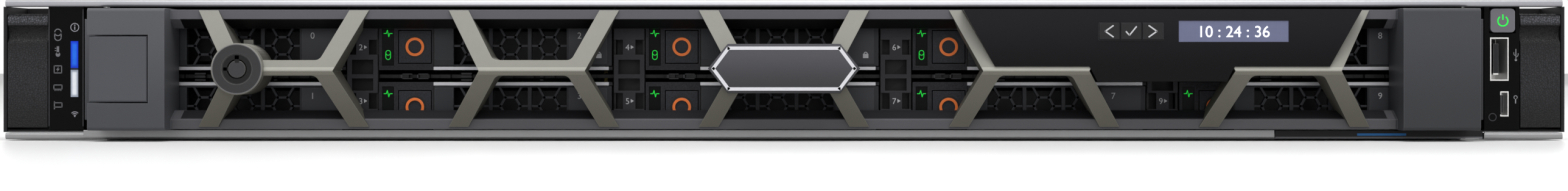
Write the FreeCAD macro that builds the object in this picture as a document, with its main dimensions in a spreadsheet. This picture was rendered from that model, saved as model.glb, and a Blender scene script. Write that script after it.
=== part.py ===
"""Rack server, one rack unit high, with ten flat drive bays behind a front lattice.

X points to the viewer's right, Y to the rear and Z up. The underside is at
Z = 0, and the plane that bolts to the rack's posts is at Y = 0.
"""
import FreeCAD, Part
import math
import os
import re

import Sketcher

doc = FreeCAD.newDocument("RackServer")
sheet = doc.addObject("Spreadsheet::Sheet", "Sizes")

SIZES = (
    # The whole machine
    ("body_width", 434.0, "Width over the top cover"),
    ("ear_reach", 24.0, "Ears' reach past the cover on each side"),
    ("unit_height", 42.8, "Height of the machine"),
    ("body_depth", 735.0, "Rack plane to the rear wall"),
    ("front_reach", 22.0, "Ears' front ahead of the rack plane"),
    ("sheet_metal", 1.2, "Thickness of the tray"),
    ("cover_metal", 1.2, "Thickness of the top cover"),
    ("run_gap", 0.3, "Clearance of pieces that move past each other"),
    ("pin_gap", 0.05, "Radial clearance of a pin in its bore"),
    # Tray, roof and trims
    ("lip_reach", 18.0, "Tray's floor and roof ahead of the rack plane"),
    ("roof_end", 118.0, "Rear edge of the fixed roof"),
    ("trim_height", 2.0, "Height of the bright trims"),
    ("trim_depth", 5.0, "Depth of the bright trims"),
    ("trim_round", 0.7, "Rounding of the trims' front edges"),
    ("stud_first", 40.0, "First rail stud behind the rack plane"),
    ("stud_pitch", 290.0, "Rail studs' spacing"),
    ("stud_shank", 2.2, "Rail stud's neck radius"),
    ("stud_head", 3.6, "Rail stud's head radius"),
    ("stud_neck_length", 2.0, "Neck between wall and stud head"),
    ("stud_head_length", 1.4, "Thickness of the stud head"),
    # Ears
    ("ear_plate", 1.0, "Thickness of the ears' side plates"),
    ("ear_flange", 2.0, "Thickness of the flange that bolts to the rack"),
    ("ear_tab", 40.0, "Length of the ear's tab on the tray wall"),
    ("rack_hole_span", 465.1, "Spacing of the rack screws' holes"),
    ("rack_hole", 3.4, "Radius of the rack screws' holes"),
    ("panel_lap", 0.8, "Ears' glossy panels start this far inside the cover's side"),
    ("panel_wide", 10.9, "Width of the ears' glossy panels"),
    ("post_wide", 4.7, "Width of the posts that hold the bezel"),
    ("panel_inner", "body_width/2 - panel_lap", "Inner edge of the ears' glossy panels"),
    ("panel_outer", "panel_inner + panel_wide", "Outer edge of the ears' glossy panels"),
    ("post_inner", "panel_inner - post_wide", "Inner edge of the posts that hold the bezel"),
    # Ear latches
    ("latch_low", 3.6, "Lower edge of the latch flap"),
    ("latch_set", 4.2, "Latch roll's distance below the machine's top"),
    ("latch_high", "unit_height - latch_set", "Top of the latch's rolled edge"),
    ("latch_roll", 1.65, "Radius of the latch's rolled edge"),
    ("latch_plate", 2.2, "Thickness of the latch flap"),
    ("latch_dish", 3.4, "Radius of the finger groove below the roll"),
    ("latch_pin", 0.8, "Radius of the latch's hinge pin"),
    ("latch_pin_reach", 0.5, "Length of each hinge pin past the flap"),
    # Status panel
    ("light_inset", 1.7, "Status lights' distance from the panel's inner edge"),
    ("light_wide", 2.3, "Width of the status lights"),
    ("light_right", "-panel_inner - light_inset", "Right edge of the status lights"),
    ("light_left", "light_right - light_wide", "Left edge of the status lights"),
    ("light_low", 13.0, "Lower end of the status lights"),
    ("light_high", 30.2, "Upper end of the status lights"),
    ("light_depth", 3.0, "Depth of the light bar in the panel"),
    ("light_proud", 0.2, "Light bar's height over the panel"),
    # Front buttons and ports
    ("power_inset", 1.9, "Power button's distance from the panel's inner edge"),
    ("power_left", "panel_inner + power_inset", "Left edge of the power button"),
    ("power_wide", 7.5, "Width of the power button"),
    ("power_set", 9.9, "Power button's lower edge below the machine's top"),
    ("power_low", "unit_height - power_set", "Lower edge of the power button"),
    ("power_tall", 7.3, "Height of the power button"),
    ("power_deep", 5.0, "Depth of the power button"),
    ("power_proud", 0.4, "Power button's height over the panel"),
    ("press_travel", 1.2, "Room behind each press button"),
    ("usb_inset", 1.8, "Front port's distance from the panel's inner edge"),
    ("usb_left", "panel_inner + usb_inset", "Left edge of the front port"),
    ("usb_wide", 5.7, "Width of the front port's shell"),
    ("usb_low", 18.0, "Lower edge of the front port"),
    ("usb_tall", 13.3, "Height of the front port's shell"),
    ("usb_deep", 12.0, "Depth of the front port"),
    ("micro_inset", 4.9, "Small port's distance from the panel's inner edge"),
    ("micro_left", "panel_inner + micro_inset", "Left edge of the small port"),
    ("micro_wide", 2.6, "Width of the small port"),
    ("micro_low", 7.0, "Lower edge of the small port"),
    ("micro_tall", 7.7, "Height of the small port"),
    ("micro_deep", 6.0, "Depth of the small port"),
    ("shell_metal", 0.35, "Thickness of the ports' metal shells"),
    # Pull-out information tag
    ("tag_wide", 64.0, "Width of the information tag"),
    ("tag_inset", 0.6, "Tag's distance from the glossy panel"),
    ("tag_right", "panel_inner - tag_inset", "Right edge of the information tag"),
    ("tag_left", "tag_right - tag_wide", "Left edge of the information tag"),
    ("tag_high", 2.7, "Height of the tag's front lip"),
    ("tag_blade", 0.6, "Thickness of the tag's blade"),
    ("tag_reach", 72.0, "Blade behind the rack plane"),
    # Bezel frame
    ("bezel_gap", 0.5, "Gap between the bezel and its posts"),
    ("bezel_half", "post_inner - bezel_gap", "Half the bezel's width"),
    ("bezel_low", 3.0, "Lower edge of the bezel's ends"),
    ("bezel_set", 2.8, "Bezel's distance below the machine's top"),
    ("bezel_high", "unit_height - bezel_set", "Upper edge of the bezel's ends"),
    ("bezel_front", 35.8, "Bezel's front ahead of the rack plane"),
    ("bezel_back", 19.0, "Bezel's back ahead of the rack plane"),
    ("cap_wide", 23.4, "Width of the bezel's end caps"),
    ("opening_half", "bezel_half - cap_wide", "Half the width of the bezel's opening"),
    ("cap_round", 1.0, "Rounding of the end caps' front edges"),
    ("strip_front", 29.0, "Strips' front ahead of the rack plane"),
    ("strip_step", 24.0, "Strips' sloped face ends here, ahead of the rack plane"),
    ("strip_edge", 0.3, "Strips' setback from the ends' upper and lower edges"),
    ("strip_tall", 2.9, "Height of the strips' upright front face"),
    ("strip_slope", 2.7, "Height of the strips' sloped face"),
    ("wing_height", 31.0, "Height of the bezel's side wings"),
    ("peg", 1.4, "Half the side of the pegs that locate the bezel"),
    ("peg_length", 6.0, "Length of the locating pegs"),
    ("peg_rise", 11.0, "Pegs' distance above and below the middle"),
    ("release_wide", 18.1, "Release button's right edge from the bezel's end"),
    ("release_right", "release_wide - bezel_half", "Right edge of the release button"),
    ("release_tall", 20.1, "Height of the release button"),
    ("release_deep", 5.0, "Depth of the release button"),
    ("release_travel", 2.5, "Stroke of the release button"),
    # Bezel lattice
    ("lattice_pitch", 76.4, "Spacing of the lattice's crossed struts"),
    ("waist_half", 16.07, "Half width of a crossed strut at its middle"),
    ("arm_half", 26.0, "Half width of a crossed strut at its ends"),
    ("arm_wide", 6.0, "Width of each arm"),
    ("arm_set", 0.5, "Arms' distance below the bezel's upper edge"),
    ("arm_top", "bezel_high - arm_set", "Upper end of the arms"),
    ("arm_foot", 4.0, "Lower end of the arms"),
    ("ridge_high", 21.0, "Height of the lattice's ridge line"),
    ("bar_low", 19.6, "Lower edge of the cross bars"),
    ("bar_high", 24.3, "Upper edge of the cross bars"),
    ("bar_fillet", 2.2, "Fillet between bars and arms"),
    ("lattice_edge", 29.4, "Lattice's front at its ends, ahead of the rack plane"),
    ("lattice_back", 22.5, "Lattice's back ahead of the rack plane"),
    ("plaque_half", 23.0, "Half width of the blank plaque"),
    ("plaque_flat", 17.0, "Half width of the plaque's level edges"),
    ("plaque_low", 14.3, "Lower edge of the plaque"),
    ("plaque_high", 29.2, "Upper edge of the plaque"),
    ("plaque_proud", 1.4, "Plaque's height over the ridge"),
    ("plaque_deep", 3.0, "Thickness of the plaque"),
    # Lock
    ("lock_inset", 22.2, "Lock's distance from the bezel's left end cap"),
    ("lock_x", "lock_inset - opening_half", "Lock's place across the bezel"),
    ("lock_z", 21.6, "Lock's height"),
    ("lock_ring", 7.8, "Radius of the lock's body"),
    ("core_radius", 4.6, "Radius of the lock's turning core"),
    ("lock_proud", 1.3, "Lock's height over the ridge"),
    ("cam_thick", 1.0, "Thickness of the lock's cam"),
    ("cam_reach", 9.0, "Reach of the lock's cam"),
    ("lock_flange", 3.0, "Thickness of the lock's flange"),
    ("lock_barrel", 6.0, "Radius of the lock's barrel"),
    ("key_outer", 3.5, "Outer radius of the key's ring slot"),
    ("key_inner", 2.6, "Inner radius of the key's ring slot"),
    ("key_deep", 5.0, "Depth of the key's ring slot"),
    ("key_notch", 1.3, "Width of the key's notch"),
    # Display on the bezel
    ("lcd_wide", 120.8, "Display housing's width at the top"),
    ("lcd_inset", 12.5, "Display housing's distance from the right end cap"),
    ("lcd_taper", 9.6, "Slope of the housing's left end"),
    ("lcd_taper_right", 9.8, "Slope of the housing's right end"),
    ("lcd_top_right", "opening_half - lcd_inset", "Display housing's right corner at the top"),
    ("lcd_top_left", "lcd_top_right - lcd_wide", "Display housing's left corner at the top"),
    ("lcd_left", "lcd_top_left + lcd_taper", "Display housing's left corner at its lower edge"),
    ("lcd_right", "lcd_top_right - lcd_taper_right", "Display housing's right corner at its lower edge"),
    ("lcd_low", 22.4, "Display housing's lower edge"),
    ("lcd_set", 0.3, "Display housing's distance below the bezel's upper edge"),
    ("lcd_high", "bezel_high - lcd_set", "Display housing's upper edge"),
    ("lip_low", 17.8, "Lower edge of the housing's lip"),
    ("lip_wide", 44.0, "Width of the lip"),
    ("lip_inset", 28.6, "Lip's distance from the housing's lower left corner"),
    ("lip_left", "lcd_left + lip_inset", "Left end of the lip"),
    ("lip_right", "lip_left + lip_wide", "Right end of the lip"),
    ("lip_taper", 2.4, "Narrowing of the lip at each end"),
    ("key_inset", 34.5, "First display button from the housing's lower left corner"),
    ("key_first", "lcd_left + key_inset", "First display button's centre"),
    ("key_pitch", 6.6, "Display buttons' spacing"),
    ("key_wide", 6.1, "Display button's width"),
    ("key_tall", 4.8, "Display button's height"),
    ("key_mid", 33.0, "Display buttons' height above the base"),
    ("key_thick", 3.0, "Display button's depth"),
    ("key_proud", 0.5, "Display button's height over the housing"),
    ("screen_wide", 33.3, "Width of the screen"),
    ("screen_inset", 21.1, "Screen's distance from the first display button"),
    ("screen_left", "key_first + screen_inset", "Left edge of the screen"),
    ("screen_right", "screen_left + screen_wide", "Right edge of the screen"),
    ("screen_low", 29.8, "Lower edge of the screen"),
    ("screen_high", 36.2, "Upper edge of the screen"),
    ("screen_deep", 1.2, "Thickness of the screen"),
    ("screen_set", 0.2, "Screen's setback in its housing"),
    # Drive bays
    ("bay_margin", 8.0, "First carrier's distance from the cover's side"),
    ("bay_margin_right", 11.0, "Fifth column's distance from the cover's other side"),
    ("bay_gap", 10.4, "Space between the columns of carriers"),
    ("bay_first", "bay_margin - body_width/2", "First carrier's left edge"),
    ("bay_pitch", "(body_width - bay_margin - bay_margin_right)/5", "Spacing of the drive columns"),
    ("carrier_wide", "bay_pitch - bay_gap", "Carrier's width"),
    ("carrier_tall", 14.95, "Carrier's height"),
    ("bay_low", 2.6, "Lower row's height above the base"),
    ("bay_rise", 18.7, "Spacing of the two rows"),
    ("carrier_front", 17.0, "Carriers' front ahead of the rack plane"),
    ("carrier_block", 12.0, "Depth of the carrier's front"),
    ("block_wide", 16.9, "Width of the carrier's button block"),
    ("strip_thick", 1.05, "Height of the carrier's bright strips"),
    ("rail_thick", 1.2, "Thickness of the carrier's side rails"),
    ("rail_end", 96.0, "Rear end of the carrier's rails"),
    ("rail_tall", 11.0, "Height of the carrier's rails"),
    ("light_slot", 3.8, "Width of the carrier's light window"),
    ("light_slot_left", 0.9, "Light window's left edge"),
    ("light_slot_edge", 1.3, "Light window's margin above and below"),
    ("light_slot_deep", 0.6, "Depth of the light window"),
    ("eject_mid", 11.2, "Release button's centre across the carrier"),
    ("eject_drop", 7.75, "Release button's centre below the carrier's top"),
    ("eject_wide", 9.9, "Width of the release button"),
    ("eject_deep", 5.0, "Depth of the release button"),
    ("eject_dish", 2.1, "Radius of the dimple in the release button"),
    ("eject_dish_deep", 0.5, "Depth of the dimple"),
    ("handle_left", 17.2, "Handle's left edge on the carrier"),
    ("handle_end", 0.2, "Handle's distance from the carrier's right edge"),
    ("handle_right", "carrier_wide - handle_end", "Handle's right edge on the carrier"),
    ("handle_thick", 2.4, "Thickness of the handle"),
    ("window_first", 23.3, "First vent window's left edge"),
    ("window_wide", 10.9, "Width of a vent window"),
    ("window_pitch", 12.1, "Spacing of the vent windows"),
    ("window_tall", 11.6, "Height of a vent window"),
    ("cell", 3.45, "Width of a honeycomb cell"),
    ("cell_web", 0.9, "Web between honeycomb cells"),
    ("drive_side", 1.375, "Drive's distance from the carrier's side"),
    ("drive_wide", "carrier_wide - 2*drive_side", "Drive's width"),
    ("drive_long", 100.2, "Drive's length"),
    ("drive_tall", 9.5, "Drive's height"),
    ("drive_front", 2.0, "Drive's front ahead of the rack plane"),
    ("cage_metal", 0.8, "Thickness of the cage's sheets"),
    ("cage_front", 15.5, "Cage's front ahead of the rack plane"),
    ("plate_wide", 9.5, "Width of a number plate"),
    ("plate_neck", 3.9, "Width of a number plate's neck"),
    ("plate_thick", 1.0, "Thickness of a number plate"),
    ("plate_hole", 6.7, "Width of the openings in a number plate"),
    ("finger_wide", 3.1, "Width of the shelf's spring fingers"),
    ("finger_pitch", 6.5, "Spacing of the spring fingers"),
    ("finger_deep", 1.6, "Length of the spring fingers"),
    ("shelf_low", 18.75, "Underside of the cage's shelf"),
    # Inside
    ("backplane_front", 104.0, "Front of the drives' backplane"),
    ("board_thick", 1.6, "Thickness of the circuit boards"),
    ("fan_first", -165.0, "First fan's centre"),
    ("fan_pitch", 82.5, "Spacing of the fans"),
    ("fan_headroom", 2.0, "Fan housings' distance below the machine's top"),
    ("fan_size", "unit_height - sheet_metal - fan_headroom", "Side of a fan housing"),
    ("fan_front", 150.0, "Front of the fans"),
    ("fan_long", 56.0, "Length of a fan housing"),
    ("fan_rim", 1.2, "Least wall of a fan's duct"),
    ("fan_bore", "fan_size/2 - fan_rim", "Radius of a fan's duct"),
    ("fan_hub", 9.0, "Radius of a fan's hub"),
    ("fan_pin", 1.5, "Radius of a fan's shaft"),
    ("blade_gap", 0.5, "Clearance of the blades in the duct"),
    ("blade_thick", 1.0, "Thickness of a fan blade"),
    ("blade_chord", 15.0, "Chord of a fan blade"),
    ("blade_angle", 40.0, "Pitch of a fan blade"),
    ("rotor_long", 18.0, "Length of a fan's hub"),
    ("standoff", 3.0, "Height of the main board's standoffs"),
    ("main_front", 212.0, "Front of the main board"),
    ("main_gap", 8.0, "Main board's distance from the rear wall's outside"),
    ("main_side", 71.0, "Main board's distance from the cover's side"),
    ("sink_side", 28.0, "Heat sinks' distance from the main board's edge"),
    ("main_back", "body_depth - main_gap", "Back of the main board"),
    ("main_half", "body_width/2 - main_side", "Half the main board's width"),
    ("sink_front", 265.0, "Front of the heat sinks"),
    ("sink_wide", 80.0, "Width of a heat sink"),
    ("sink_mid", "main_half - sink_side - sink_wide/2", "Heat sinks' distance from the middle"),
    ("sink_long", 110.0, "Length of a heat sink"),
    ("sink_base", 8.0, "Thickness of a heat sink's base with its processor"),
    ("sink_set", 6.8, "Heat sinks' top below the machine's top"),
    ("sink_high", "unit_height - sink_set", "Top of the heat sinks"),
    ("fin_thick", 1.0, "Thickness of a heat sink's fin"),
    ("fin_pitch", 8.0, "Spacing of the heat sink's fins"),
    ("memory_long", 133.0, "Length of a memory module"),
    ("memory_front", 252.0, "Front of the memory modules"),
    ("memory_thick", 3.0, "Thickness of a memory module"),
    ("memory_pitch", 8.0, "Spacing of the memory modules"),
    ("shroud_set", 4.8, "Air shroud's underside below the machine's top"),
    ("shroud_low", "unit_height - shroud_set", "Underside of the air shroud"),
    ("memory_gap", 2.2, "Clearance of the memory modules under the air shroud"),
    ("memory_high", "shroud_low - memory_gap", "Top of the memory modules"),
    ("shroud_sheet", 1.5, "Thickness of the air shroud"),
    ("shroud_front", 222.0, "Front of the air shroud"),
    ("shroud_back", 430.0, "Back of the air shroud"),
    ("riser_side", 34.0, "Riser boards' distance from the middle"),
    ("riser_front", 135.0, "Riser boards' front before the rear wall"),
    ("riser_long", 100.0, "Length of a riser board"),
    ("riser_set", 6.8, "Riser boards' top below the machine's top"),
    ("riser_high", "unit_height - riser_set", "Top of the riser boards"),
    ("card_rise", 18.2, "Expansion card's height above the main board"),
    ("card_wide", 78.0, "Reach of an expansion card from the riser's face"),
    ("chip_inset", 16.0, "Card's cooler from the riser's face"),
    ("chip_wide", 34.0, "Side of the card's cooler"),
    # Power supplies
    ("psu_wide", 60.0, "Width of a power supply"),
    ("psu_low", 1.5, "Underside of the power supplies"),
    ("psu_headroom", 2.3, "Power supplies' distance below the machine's top"),
    ("psu_tall", "unit_height - psu_low - psu_headroom", "Height of a power supply"),
    ("psu_long", 185.0, "Length of a power supply"),
    ("psu_proud", 1.5, "Power supplies' height over the rear wall"),
    ("psu_margin", 3.2, "Power supplies' distance from the cover's side"),
    ("psu_face", "body_depth + psu_proud", "Rear face of the power supplies"),
    ("psu_edge", "body_width/2 - psu_margin", "Outer side of the power supplies"),
    ("inlet_wide", 28.0, "Width of a power inlet"),
    ("inlet_tall", 20.5, "Height of a power inlet"),
    ("inlet_deep", 16.0, "Depth of a power inlet"),
    ("grip_reach", 35.0, "Reach of the power supply's handle"),
    ("grip_bar", 4.0, "Thickness of the power supply's handle"),
    ("grip_wide", 26.0, "Width of the power supply's handle"),
    ("lever_long", 14.0, "Length of the power supply's release lever"),
    ("lever_pin", 0.8, "Radius of the release lever's pin"),
    ("lever_thick", 2.6, "Thickness of the release lever's arm"),
    ("lever_off", 0.9, "Release lever's distance from the power supply's face"),
    ("lever_low", 31.0, "Release lever's height above the supply's underside"),
    ("lever_tall", 5.0, "Height of the release lever"),
    ("lug_thick", 1.3, "Thickness of the lugs that hold the release lever"),
    # Rear wall
    ("rear_metal", 1.2, "Thickness of the rear wall"),
    ("rear_set", 1.6, "Rear wall's distance below the machine's top"),
    ("rear_high", "unit_height - rear_set", "Upper edge of the rear wall"),
    ("vent_set", 3.8, "Rear vents below the machine's top"),
    ("vent_high", "unit_height - vent_set", "Upper edge of the rear vents"),
    ("vent_tall", 10.0, "Height of a rear vent"),
    ("vent_wide", 5.0, "Width of a rear vent"),
    ("vent_pitch", 11.0, "Spacing of the rear vents"),
    ("vent_first", 22.0, "First vent from the middle of the rear wall"),
    ("slot_left", 40.0, "Card slot's edge from the middle of the rear wall"),
    ("slot_right", 124.0, "Card slot's far edge"),
    ("slot_low", 11.0, "Card slot's lower edge"),
    ("slot_high", 18.0, "Card slot's upper edge"),
    ("net_wide", 14.0, "Width of a network socket"),
    ("net_tall", 12.0, "Height of a network socket"),
    ("net_deep", 18.0, "Depth of a network socket"),
    ("id_button", 2.6, "Radius of the rear identification button"),
    # Top cover
    ("cover_front", 120.0, "Front edge of the top cover"),
    ("cover_set", 0.6, "Top cover's setback from the rear wall's outside"),
    ("cover_back", "body_depth - cover_set", "Rear edge of the top cover"),
    ("skirt", 8.6, "Height of the cover's skirts"),
    ("handle_half", 27.0, "Half width of the cover's latch handle"),
    ("well_front", 450.0, "Front of the latch handle's well"),
    ("well_long", 44.0, "Length of the latch handle's well"),
    ("well_deep", 3.9, "Depth of the latch handle's well"),
    ("well_floor", "unit_height - well_deep", "Floor of the latch handle's well"),
    ("handle_plate", 2.0, "Thickness of the latch handle"),
    ("hinge_pin", 1.0, "Radius of the latch handle's hinge pin"),
    ("catch_screw", 4.0, "Radius of the latch's lock"),
)
for row, (alias, number, meaning) in enumerate(SIZES, start=1):
    sheet.set(f"A{row}", meaning)
    sheet.set(f"B{row}", f"={number}")
    sheet.setAlias(f"B{row}", alias)
doc.recompute()

ALIASES = {alias for alias, number, meaning in SIZES}
WORD = re.compile(r"[A-Za-z_]\w*")
LETTERS = {"X": FreeCAD.Vector(1, 0, 0), "Y": FreeCAD.Vector(0, 1, 0), "Z": FreeCAD.Vector(0, 0, 1)}
AXIS_TURNS = {
    "X": FreeCAD.Rotation(LETTERS["Y"], 90),
    "Y": FreeCAD.Rotation(LETTERS["X"], -90),
    "Z": FreeCAD.Rotation(),
}
NODES = []


def linked(text):
    """Expression in which each size's name points at its cell of the sheet."""
    def cell(found):
        return "Sizes." + found[0] if found[0] in ALIASES else found[0]
    return WORD.sub(cell, str(text))


def amount(text):
    """Number that an expression of sizes comes to now."""
    return float(sheet.evalExpression(linked(text)))


def bind(obj, **texts):
    """Tie properties to expressions of sizes."""
    for prop, text in texts.items():
        obj.setExpression(prop.replace("__", "."), linked(text))
    return obj


def place(obj, x, y, z):
    """Tie an object's place to expressions of sizes."""
    return bind(obj, Placement__Base__x=x, Placement__Base__y=y, Placement__Base__z=z)


def box(name, low, high):
    """Block between two opposite corners."""
    block = doc.addObject("Part::Box", name)
    for prop, start, end in zip(("Length", "Width", "Height"), low, high):
        bind(block, **{prop: f"({end}) - ({start})"})
    return place(block, *low)


def rod(name, axis, at, radius, length):
    """Cylinder from a point along an axis."""
    cylinder = doc.addObject("Part::Cylinder", name)
    cylinder.Placement = FreeCAD.Placement(FreeCAD.Vector(), AXIS_TURNS[axis])
    bind(cylinder, Radius=radius, Height=length)
    return place(cylinder, *at)


def bar(name, axis, at, radius, length, sides):
    """Bar with a regular outline from a point along an axis."""
    prism_bar = doc.addObject("Part::Prism", name)
    prism_bar.Polygon = sides
    prism_bar.Placement = FreeCAD.Placement(FreeCAD.Vector(), AXIS_TURNS[axis])
    bind(prism_bar, Circumradius=radius, Height=length)
    return place(prism_bar, *at)


def prism(name, axis, points, start, end):
    """Polygon in the plane across an axis, extruded from start to end along it.

    The points are X and Z places across Y, Y and Z across X, and X and Y across Z.
    """
    turns = {
        "X": FreeCAD.Rotation(FreeCAD.Vector(1, 1, 1), 120),
        "Y": FreeCAD.Rotation(LETTERS["X"], 90),
        "Z": FreeCAD.Rotation(),
    }
    sketch = doc.addObject("Sketcher::SketchObject", name + "_outline")
    sketch.Placement = FreeCAD.Placement(FreeCAD.Vector(), turns[axis])
    corners = [FreeCAD.Vector(amount(first), amount(second), 0) for first, second in points]
    lines = [Part.LineSegment(a, b) for a, b in zip(corners, corners[1:] + corners[:1])]
    sketch.addGeometry(lines, False)
    count = len(lines)
    sketch.addConstraint([Sketcher.Constraint("Coincident", i, 2, (i + 1) % count, 1) for i in range(count)])
    for i, point in enumerate(points):
        for kind, text in zip(("DistanceX", "DistanceY"), point):
            index = sketch.addConstraint(Sketcher.Constraint(kind, -1, 1, i, 1, amount(text)))
            sketch.setExpression(f"Constraints[{index}]", linked(text))
    solid = doc.addObject("Part::Extrusion", name)
    solid.Base = sketch
    solid.DirMode = "Custom"
    solid.Dir = LETTERS[axis]
    solid.Solid = True
    bind(solid, LengthFwd=f"({end}) - ({start})")
    bind(sketch, **{"Placement__Base__" + axis.lower(): start})
    return solid


def fuse(name, *shapes):
    """Shapes joined to one solid."""
    joined = doc.addObject("Part::MultiFuse", name)
    joined.Shapes = list(shapes)
    joined.Refine = True
    return joined


def group(name, *shapes):
    """Separate solids kept together as one sub-part."""
    together = doc.addObject("Part::Compound", name)
    together.Links = list(shapes)
    return together


def cut(name, base, *tools):
    """Base less its tools."""
    less = doc.addObject("Part::Cut", name)
    less.Base = base
    less.Tool = tools[0] if len(tools) == 1 else group(name + "_tools", *tools)
    return less


def overlap(name, first, second):
    """What two shapes share."""
    shared = doc.addObject("Part::MultiCommon", name)
    shared.Shapes = [first, second]
    return shared


def fillet(name, base, radius, picks):
    """Rounded edges, those whose middle and direction picks accepts."""
    doc.recompute()
    edges = []
    for number, edge in enumerate(base.Shape.Edges, start=1):
        if len(edge.Vertexes) == 2 and picks(edge.CenterOfMass, edge.tangentAt(edge.FirstParameter)):
            edges.append((number, amount(radius), amount(radius)))
    rounded = doc.addObject("Part::Fillet", name)
    rounded.Base = base
    rounded.Edges = edges
    return rounded


def repeat(name, source, spots):
    """Copies of one shape, shifted by each spot, as one object."""
    doc.recompute()
    copies = doc.addObject("Part::Feature", name)
    shapes = []
    for spot in spots:
        shape = source.Shape.copy()
        shape.translate(FreeCAD.Vector(*spot))
        shapes.append(shape)
    copies.Shape = Part.makeCompound(shapes)
    copies.Placement = FreeCAD.Placement()
    return copies


def mirrored(name, source):
    """Source seen in a mirror across the machine's middle."""
    other = doc.addObject("Part::Mirroring", name)
    other.Source = source
    other.Normal = LETTERS["X"]
    return other


def node(label, shape):
    """Name a finished sub-part; its name is also its file's."""
    shape.Label = label
    NODES.append(shape)
    return shape


# Planes and edges that several pieces share
WALL_OUT = "(body_width/2 - cover_metal - run_gap)"
WALL_IN = "(body_width/2 - cover_metal - run_gap - sheet_metal)"
WALL_TOP = "(unit_height - cover_metal - run_gap)"
COVER_LOW = "(unit_height - cover_metal)"
TRIM_TOP = "(unit_height - trim_height)"
EAR_OUT = "(body_width/2 + ear_reach)"
EAR_IN = "(body_width/2 + ear_reach - ear_plate)"
BEZEL_MID = "(bezel_low/2 + bezel_high/2)"

# ---------------------------------------------------------------- chassis tray
tray_bend = prism(
    "tray_bend", "Y",
    (
        (f"-{WALL_OUT}", "0"), (WALL_OUT, "0"), (WALL_OUT, WALL_TOP), (WALL_IN, WALL_TOP),
        (WALL_IN, "sheet_metal"), (f"-{WALL_IN}", "sheet_metal"),
        (f"-{WALL_IN}", WALL_TOP), (f"-{WALL_OUT}", WALL_TOP),
    ),
    "0", "body_depth",
)
floor_lip = box("floor_lip", ("-post_inner", "-lip_reach", "0"), ("post_inner", "0", "sheet_metal"))
roof_lip = box("roof_lip", ("-post_inner", "-lip_reach", WALL_TOP), ("post_inner", "0", "unit_height"))
roof = box("roof", (f"-{WALL_OUT}", "0", WALL_TOP), (WALL_OUT, "roof_end", "unit_height"))
PSU_INNER = "(psu_edge - psu_wide - run_gap)"
bay_walls = [
    box(
        f"bay_wall_{side}",
        (f"{sign}{PSU_INNER} - {thick}", "psu_face - psu_long - 8", "sheet_metal"),
        (f"{sign}{PSU_INNER} + {thicker}", "body_depth - rear_metal", WALL_TOP),
    )
    for side, sign, thick, thicker in (("left", "-", "0", "sheet_metal"), ("right", "", "sheet_metal", "0"))
]
studs = []
for place_number in range(3):
    along = f"stud_first + {place_number}*stud_pitch"
    neck = bar(f"stud_neck_{place_number}", "X", (WALL_OUT, along, "unit_height/2"), "stud_shank", "stud_neck_length", 12)
    head = rod(
        f"stud_head_{place_number}", "X", (f"{WALL_OUT} + stud_neck_length", along, "unit_height/2"),
        "stud_head", "stud_head_length",
    )
    studs += [neck, head]
studs_right = fuse("studs_right", *studs)
studs_left = mirrored("studs_left", studs_right)
node("chassis_tray", fuse("tray", tray_bend, floor_lip, roof_lip, roof, *bay_walls, studs_right, studs_left))

# ---------------------------------------------------------------------- trims
def trim(name, left, right, low, high):
    """Bright bar along the front with rounded front edges."""
    bar = box(
        name + "_bar", (left, "-lip_reach - trim_depth", low), (right, "-lip_reach", high),
    )
    front = -amount("lip_reach + trim_depth")
    return fillet(
        name, bar, "trim_round",
        lambda middle, way: abs(middle.y - front) < 0.01 and abs(way.x) > 0.99,
    )


TRIM_HALF = "(body_width/2 + ear_reach - 0.9)"
node(
    "front_trims",
    group(
        "trim_bars",
        trim("top_bar", f"-{TRIM_HALF}", TRIM_HALF, TRIM_TOP, "unit_height"),
        trim("long_bar", f"-{TRIM_HALF}", "tag_left - run_gap", "0", "trim_height"),
        trim("short_bar", "tag_right + run_gap", TRIM_HALF, "0", "trim_height"),
    ),
)

# ----------------------------------------------------------------------- ears
LATCH_Z = "(latch_high - latch_roll)"
LATCH_Y = "(-front_reach + latch_roll)"
LATCH_IN = "(panel_outer + run_gap)"
LATCH_OUT = f"({EAR_IN} - run_gap)"
PANEL_LOW = "(trim_height + 0.2)"
PEG_X = "(post_inner/2 + panel_inner/2)"


def ear(name):
    """Right ear: side plate, rack flange with its screw holes, bezel post and tab."""
    plate = box(name + "_plate", (EAR_IN, "-front_reach", PANEL_LOW), (EAR_OUT, "0", TRIM_TOP))
    flange = box(name + "_flange", ("post_inner", "-ear_flange", PANEL_LOW), (EAR_OUT, "0", TRIM_TOP))
    post = box(name + "_post", ("post_inner", "-lip_reach", PANEL_LOW), ("panel_inner", "-ear_flange", TRIM_TOP))
    foot = box(
        name + "_foot", ("panel_inner", "-front_reach + 1", PANEL_LOW), (EAR_IN, "-ear_flange", f"{PANEL_LOW} + 0.7"),
    )
    tab = box(name + "_tab", (WALL_OUT, "-ear_flange", "4"), (f"{WALL_OUT} + 1.2", "ear_tab/2", "38"))
    holes = [
        rod(f"{name}_screw", "Y", ("rack_hole_span/2", "-ear_flange - 1", "unit_height/2"), "rack_hole", "ear_flange + 2"),
        rod(f"{name}_pin_bore", "X", (f"{EAR_IN} - 0.5", LATCH_Y, LATCH_Z), "latch_pin + pin_gap", "ear_plate + 1"),
    ]
    for side, sign in (("low", "-"), ("high", "+")):
        holes.append(box(
            f"{name}_peg_{side}", (f"{PEG_X} - peg - run_gap", "-lip_reach - 1", f"{BEZEL_MID} {sign} peg_rise - peg - run_gap"),
            (f"{PEG_X} + peg + run_gap", "-lip_reach + peg_length + 1", f"{BEZEL_MID} {sign} peg_rise + peg + run_gap"),
        ))
    return cut(name, fuse(name + "_body", plate, flange, post, foot, tab), *holes)


ear_right = node("ear_right", ear("right_ear"))
node("ear_left", mirrored("left_ear", ear_right))

# ------------------------------------------------------------- panels on ears
PANEL_FRONT = "-front_reach"


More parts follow.
